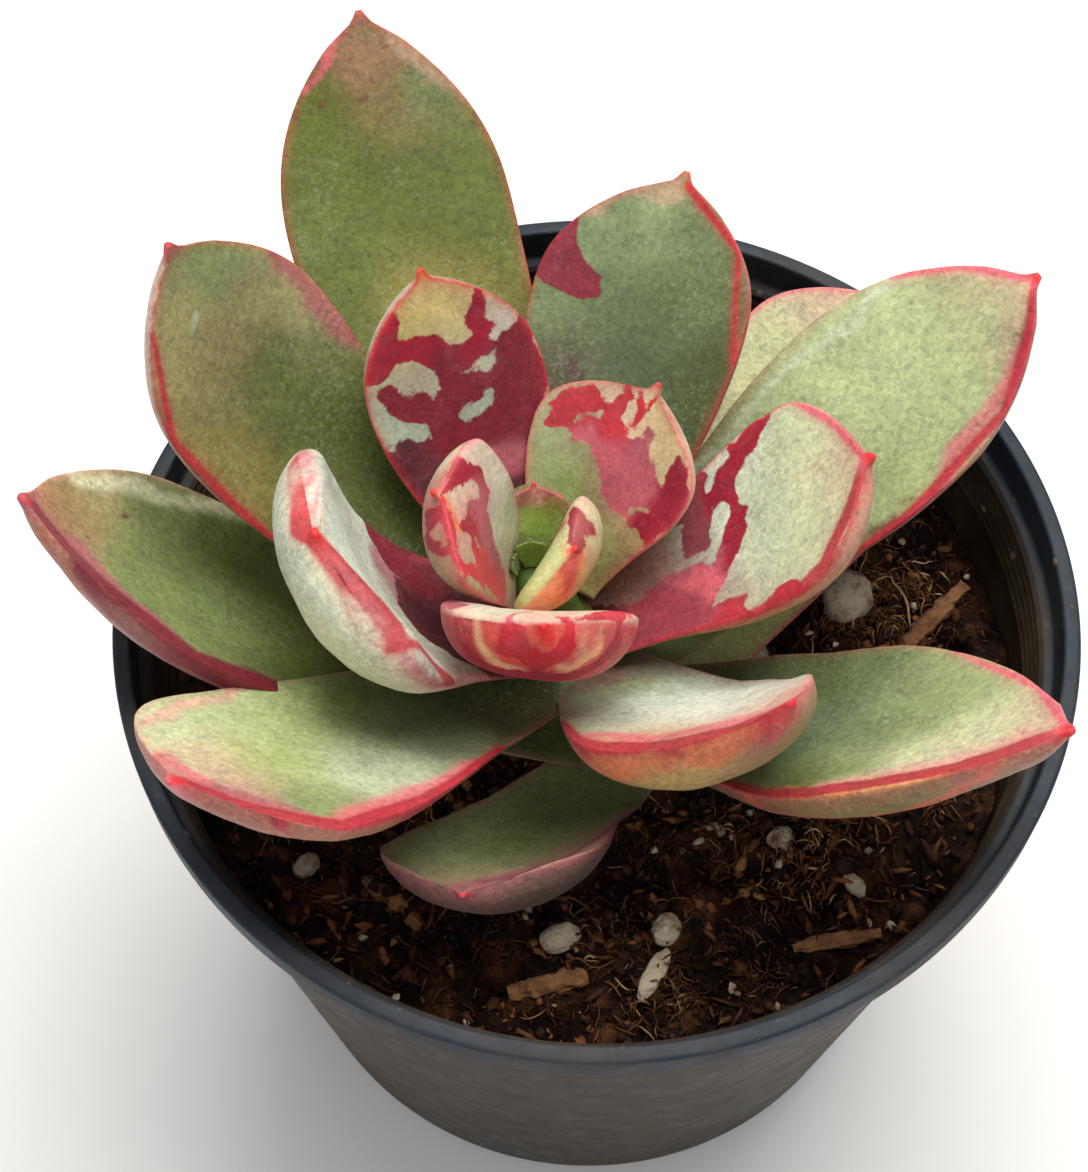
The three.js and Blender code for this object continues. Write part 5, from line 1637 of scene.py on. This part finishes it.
def pot_material():
    """Black moulded plastic: satin, with a painted sky reflection on the rim, dried splashes, a warm film
    that is partly dust and partly painted reflection, and scuffs.
    """
    material, graph, shader, place = new_material("black pot plastic")
    pot = bpy.context.scene.echeveria_pot
    speck = ready_group("speck", speck_group)
    parted = graph.node("ShaderNodeSeparateXYZ", {"Vector": place})
    foot = (POT_HEIGHT - RIM_BAND) * MM
    # The rim band takes the bluer tone, a painted reflection of the sky
    rim_reflection_mask = graph.step(parted.outputs[2], foot - MM, foot)
    tone = graph.mix(rim_reflection_mask, tuple(pot.plastic), tuple(pot.rim))
    base = mottled(graph, place, tone, 500.0, 0.3)
    inside = graph.attribute("inside")
    splash = graph.group(speck, Vector=place, Scale=420.0, Share=0.16, Size=0.32)
    fine = graph.group(speck, Vector=place, Scale=1100.0, Share=0.2, Size=0.34)
    smear = graph.step(graph.noise(place, 60.0, 6.0, 0.72, 0.15), 0.35, 0.75)
    dirt = graph.math("MAXIMUM", graph.math("MULTIPLY", splash["Mask"], inside),
                      graph.math("MULTIPLY", fine["Mask"], 0.3))
    # The warm film over the wall is partly dust, partly a painted warm reflection; the splashes inside are
    # dirt
    film = graph.math("MULTIPLY", smear, graph.math("MULTIPLY_ADD", inside, 0.05, 0.16))
    dust_and_reflection = graph.math("ADD", film, graph.math("MULTIPLY", dirt, 0.55), clamp=True)
    final = graph.mix(dust_and_reflection, base["Color"], tuple(pot.dust))
    scuff = graph.noise(place, 260.0, 6.0, 0.7, 0.4)
    scratch = graph.math("ADD", scuff, graph.math("MULTIPLY", smear, 0.4))
    set_shader(graph, shader, Base_Color=final, Roughness=graph.step(scratch, 0.3, 1.0, 0.42, 0.7),
               Normal=bump(graph, scuff, 0.00006))
    set_shader(graph, shader, Specular_IOR_Level=0.2)
    return material


def millimetres(setting):
    """A length setting in millimetres, rounded because Blender keeps it as a 32-bit number."""
    return round(setting / MM, 6)


class ECHEVERIA_OT_pot(bpy.types.Operator):
    """Adds the thin-walled nursery pot with its rim band, ribs and drain holes"""
    bl_idname = "echeveria.pot"
    bl_label = "Add pot"

    def execute(self, context):
        pot = context.scene.echeveria_pot
        profile = pot_profile(millimetres(pot.rib_depth))
        angle = circle(216)
        r = profile[:, 0][:, None]
        rings = np.stack([r * np.cos(angle), r * np.sin(angle), profile[:, 1][:, None] + 0 * angle], -1)
        piece = make_mesh("pot_shell", *closed_tube(rings))
        cutter = drain_cutter(millimetres(pot.drain_radius))
        modifier = piece.modifiers.new("drain holes", "BOOLEAN")
        modifier.object = cutter
        modifier.solver = "EXACT"
        drilled = bpy.data.meshes.new_from_object(piece.evaluated_get(context.evaluated_depsgraph_get()))
        piece.modifiers.clear()
        piece.data = drilled
        bpy.data.objects.remove(cutter)
        place = np.zeros(3 * len(drilled.vertices), np.float32)
        drilled.vertices.foreach_get("co", place)
        place = place.reshape(-1, 3) / MM
        # A point is inside where it lies farther in than the outer face, with a little to spare
        outer = np.where(place[:, 2] > POT_HEIGHT - RIM_BAND, RIM_RADIUS - 0.6, pot_radius(place[:, 2]) - 0.3)
        set_values(piece, "inside", np.where(np.hypot(place[:, 0], place[:, 1]) < outer, 1.0, 0.0))
        finish_piece(piece, pot_material(), "pot_plastic", "pot")
        return {"FINISHED"}


def drain_cutter(radius):
    """The drills of the drain holes: closed tubes through the pot's floor."""
    angle = circle(32)
    ring = radius * np.stack([np.cos(angle), np.sin(angle), 0 * angle], -1)
    one, quads, triangles = closed_tube(np.stack([ring + (0, 0, -2.0), ring + (0, 0, 4.0)]))
    spots = 2 * np.pi * np.arange(DRAIN_HOLES) / DRAIN_HOLES
    middles = DRAIN_CIRCLE * np.stack([np.cos(spots), np.sin(spots), 0 * spots], -1)
    return repeated_mesh("drill", one[None] + middles[:, None], quads, triangles)


def add_floor(tint):
    """The floor: one wide square in a faintly clouded tint, which is stage."""
    half = FLOOR_HALF
    corners = np.array([(-half, -half, 0), (half, -half, 0), (half, half, 0), (-half, half, 0)])
    floor = make_mesh("floor", corners, np.array([[0, 1, 2, 3]]), np.zeros((0, 3), int))
    material, graph, shader, place = new_material("studio floor")
    cloud = graph.noise(place, 3.0, 2.0)
    tone = graph.mix(cloud, tuple(0.97 * part for part in tint), tuple(tint))
    set_shader(graph, shader, Base_Color=tone, Roughness=0.85)
    floor.data.materials.append(material)


def add_lamp(name, place, power, tint):
    """A square area lamp at a place in metres, pointed at the middle of the plant."""
    light = bpy.data.lights.new(name, "AREA")
    light.size = LAMP_WIDTH
    light.energy = power
    light.color = tint
    lamp = bpy.data.objects.new(name, light)
    bpy.context.scene.collection.objects.link(lamp)
    lamp.location = place
    towards = np.array(LAMP_AIM) - np.array(place)
    flat = math.hypot(towards[0], towards[1])
    lamp.rotation_euler = (math.atan2(flat, -towards[2]), 0, math.atan2(towards[1], towards[0]) - math.pi / 2)


def add_sky(strength):
    """Even light from all sides, slightly cool."""
    world = bpy.data.worlds.new("even sky")
    world.use_nodes = True
    sky = world.node_tree.nodes["Background"]
    sky.inputs["Color"].default_value = (0.95, 0.97, 1.0, 1.0)
    sky.inputs["Strength"].default_value = strength
    bpy.context.scene.world = world


def add_camera():
    """The camera that sees the plant as the photo does."""
    data = bpy.data.cameras.new("camera")
    data.lens = CAMERA_LENS
    data.shift_y = CAMERA_SHIFT
    camera = bpy.data.objects.new("camera", data)
    bpy.context.scene.collection.objects.link(camera)
    rise = math.radians(CAMERA_ELEVATION)
    back = np.array([0, -math.cos(rise), math.sin(rise)]) * CAMERA_DISTANCE
    camera.location = (np.array(CAMERA_LOOK) + back) * MM
    camera.rotation_euler = (math.pi / 2 - rise, 0, 0)
    bpy.context.scene.camera = camera


class ECHEVERIA_OT_stage(bpy.types.Operator):
    """Adds the pale floor, the soft lamps, the even sky and the camera"""
    bl_idname = "echeveria.stage"
    bl_label = "Add stage"

    def execute(self, context):
        stage = context.scene.echeveria_stage
        add_floor(stage.floor)
        add_lamp("key lamp", (0.12, 0.3, 0.88), stage.key, (1.0, 0.98, 0.95))
        add_lamp("front lamp", (-0.3, -0.9, 0.7), stage.fill, (0.95, 0.97, 1.0))
        add_sky(stage.sky)
        context.scene.view_settings.view_transform = "Standard"
        add_camera()
        return {"FINISHED"}


class ECHEVERIA_PT_panel(bpy.types.Panel):
    """Lists the pieces of the plant and the settings that shape them"""
    bl_idname = "ECHEVERIA_PT_panel"
    bl_label = "Potted echeveria"
    bl_space_type = "VIEW_3D"
    bl_region_type = "UI"
    bl_category = "Echeveria"

    def draw(self, context):
        for piece in PIECES:
            self.layout.operator(piece.bl_idname)
        for name in SETTINGS:
            group = getattr(context.scene, name)
            box = self.layout.box()
            for key in group.bl_rna.properties.keys():
                if key not in ("rna_type", "name"):
                    box.prop(group, key)


SETTINGS = {
    "echeveria_pot": EcheveriaPot,
    "echeveria_soil": EcheveriaSoil,
    "echeveria_leaves": EcheveriaLeaves,
    "echeveria_stage": EcheveriaStage,
}
PIECES = (
    ECHEVERIA_OT_stage,
    ECHEVERIA_OT_pot,
    ECHEVERIA_OT_soil,
    ECHEVERIA_OT_perlite,
    ECHEVERIA_OT_bark,
    ECHEVERIA_OT_stem,
    ECHEVERIA_OT_leaves,
)


def register():
    """Makes the settings, the operators and the panel known to Blender."""
    for kind in (*SETTINGS.values(), *PIECES, ECHEVERIA_PT_panel):
        bpy.utils.register_class(kind)
    for name, kind in SETTINGS.items():
        setattr(bpy.types.Scene, name, PointerProperty(type=kind))


def unregister():
    """Takes them away again."""
    for name in SETTINGS:
        delattr(bpy.types.Scene, name)
    for kind in (ECHEVERIA_PT_panel, *reversed(PIECES), *SETTINGS.values()):
        bpy.utils.unregister_class(kind)


def main():
    register()
    for piece in PIECES:
        family, action = piece.bl_idname.split(".")
        getattr(getattr(bpy.ops, family), action)()


if __name__ == "__main__":
    main()
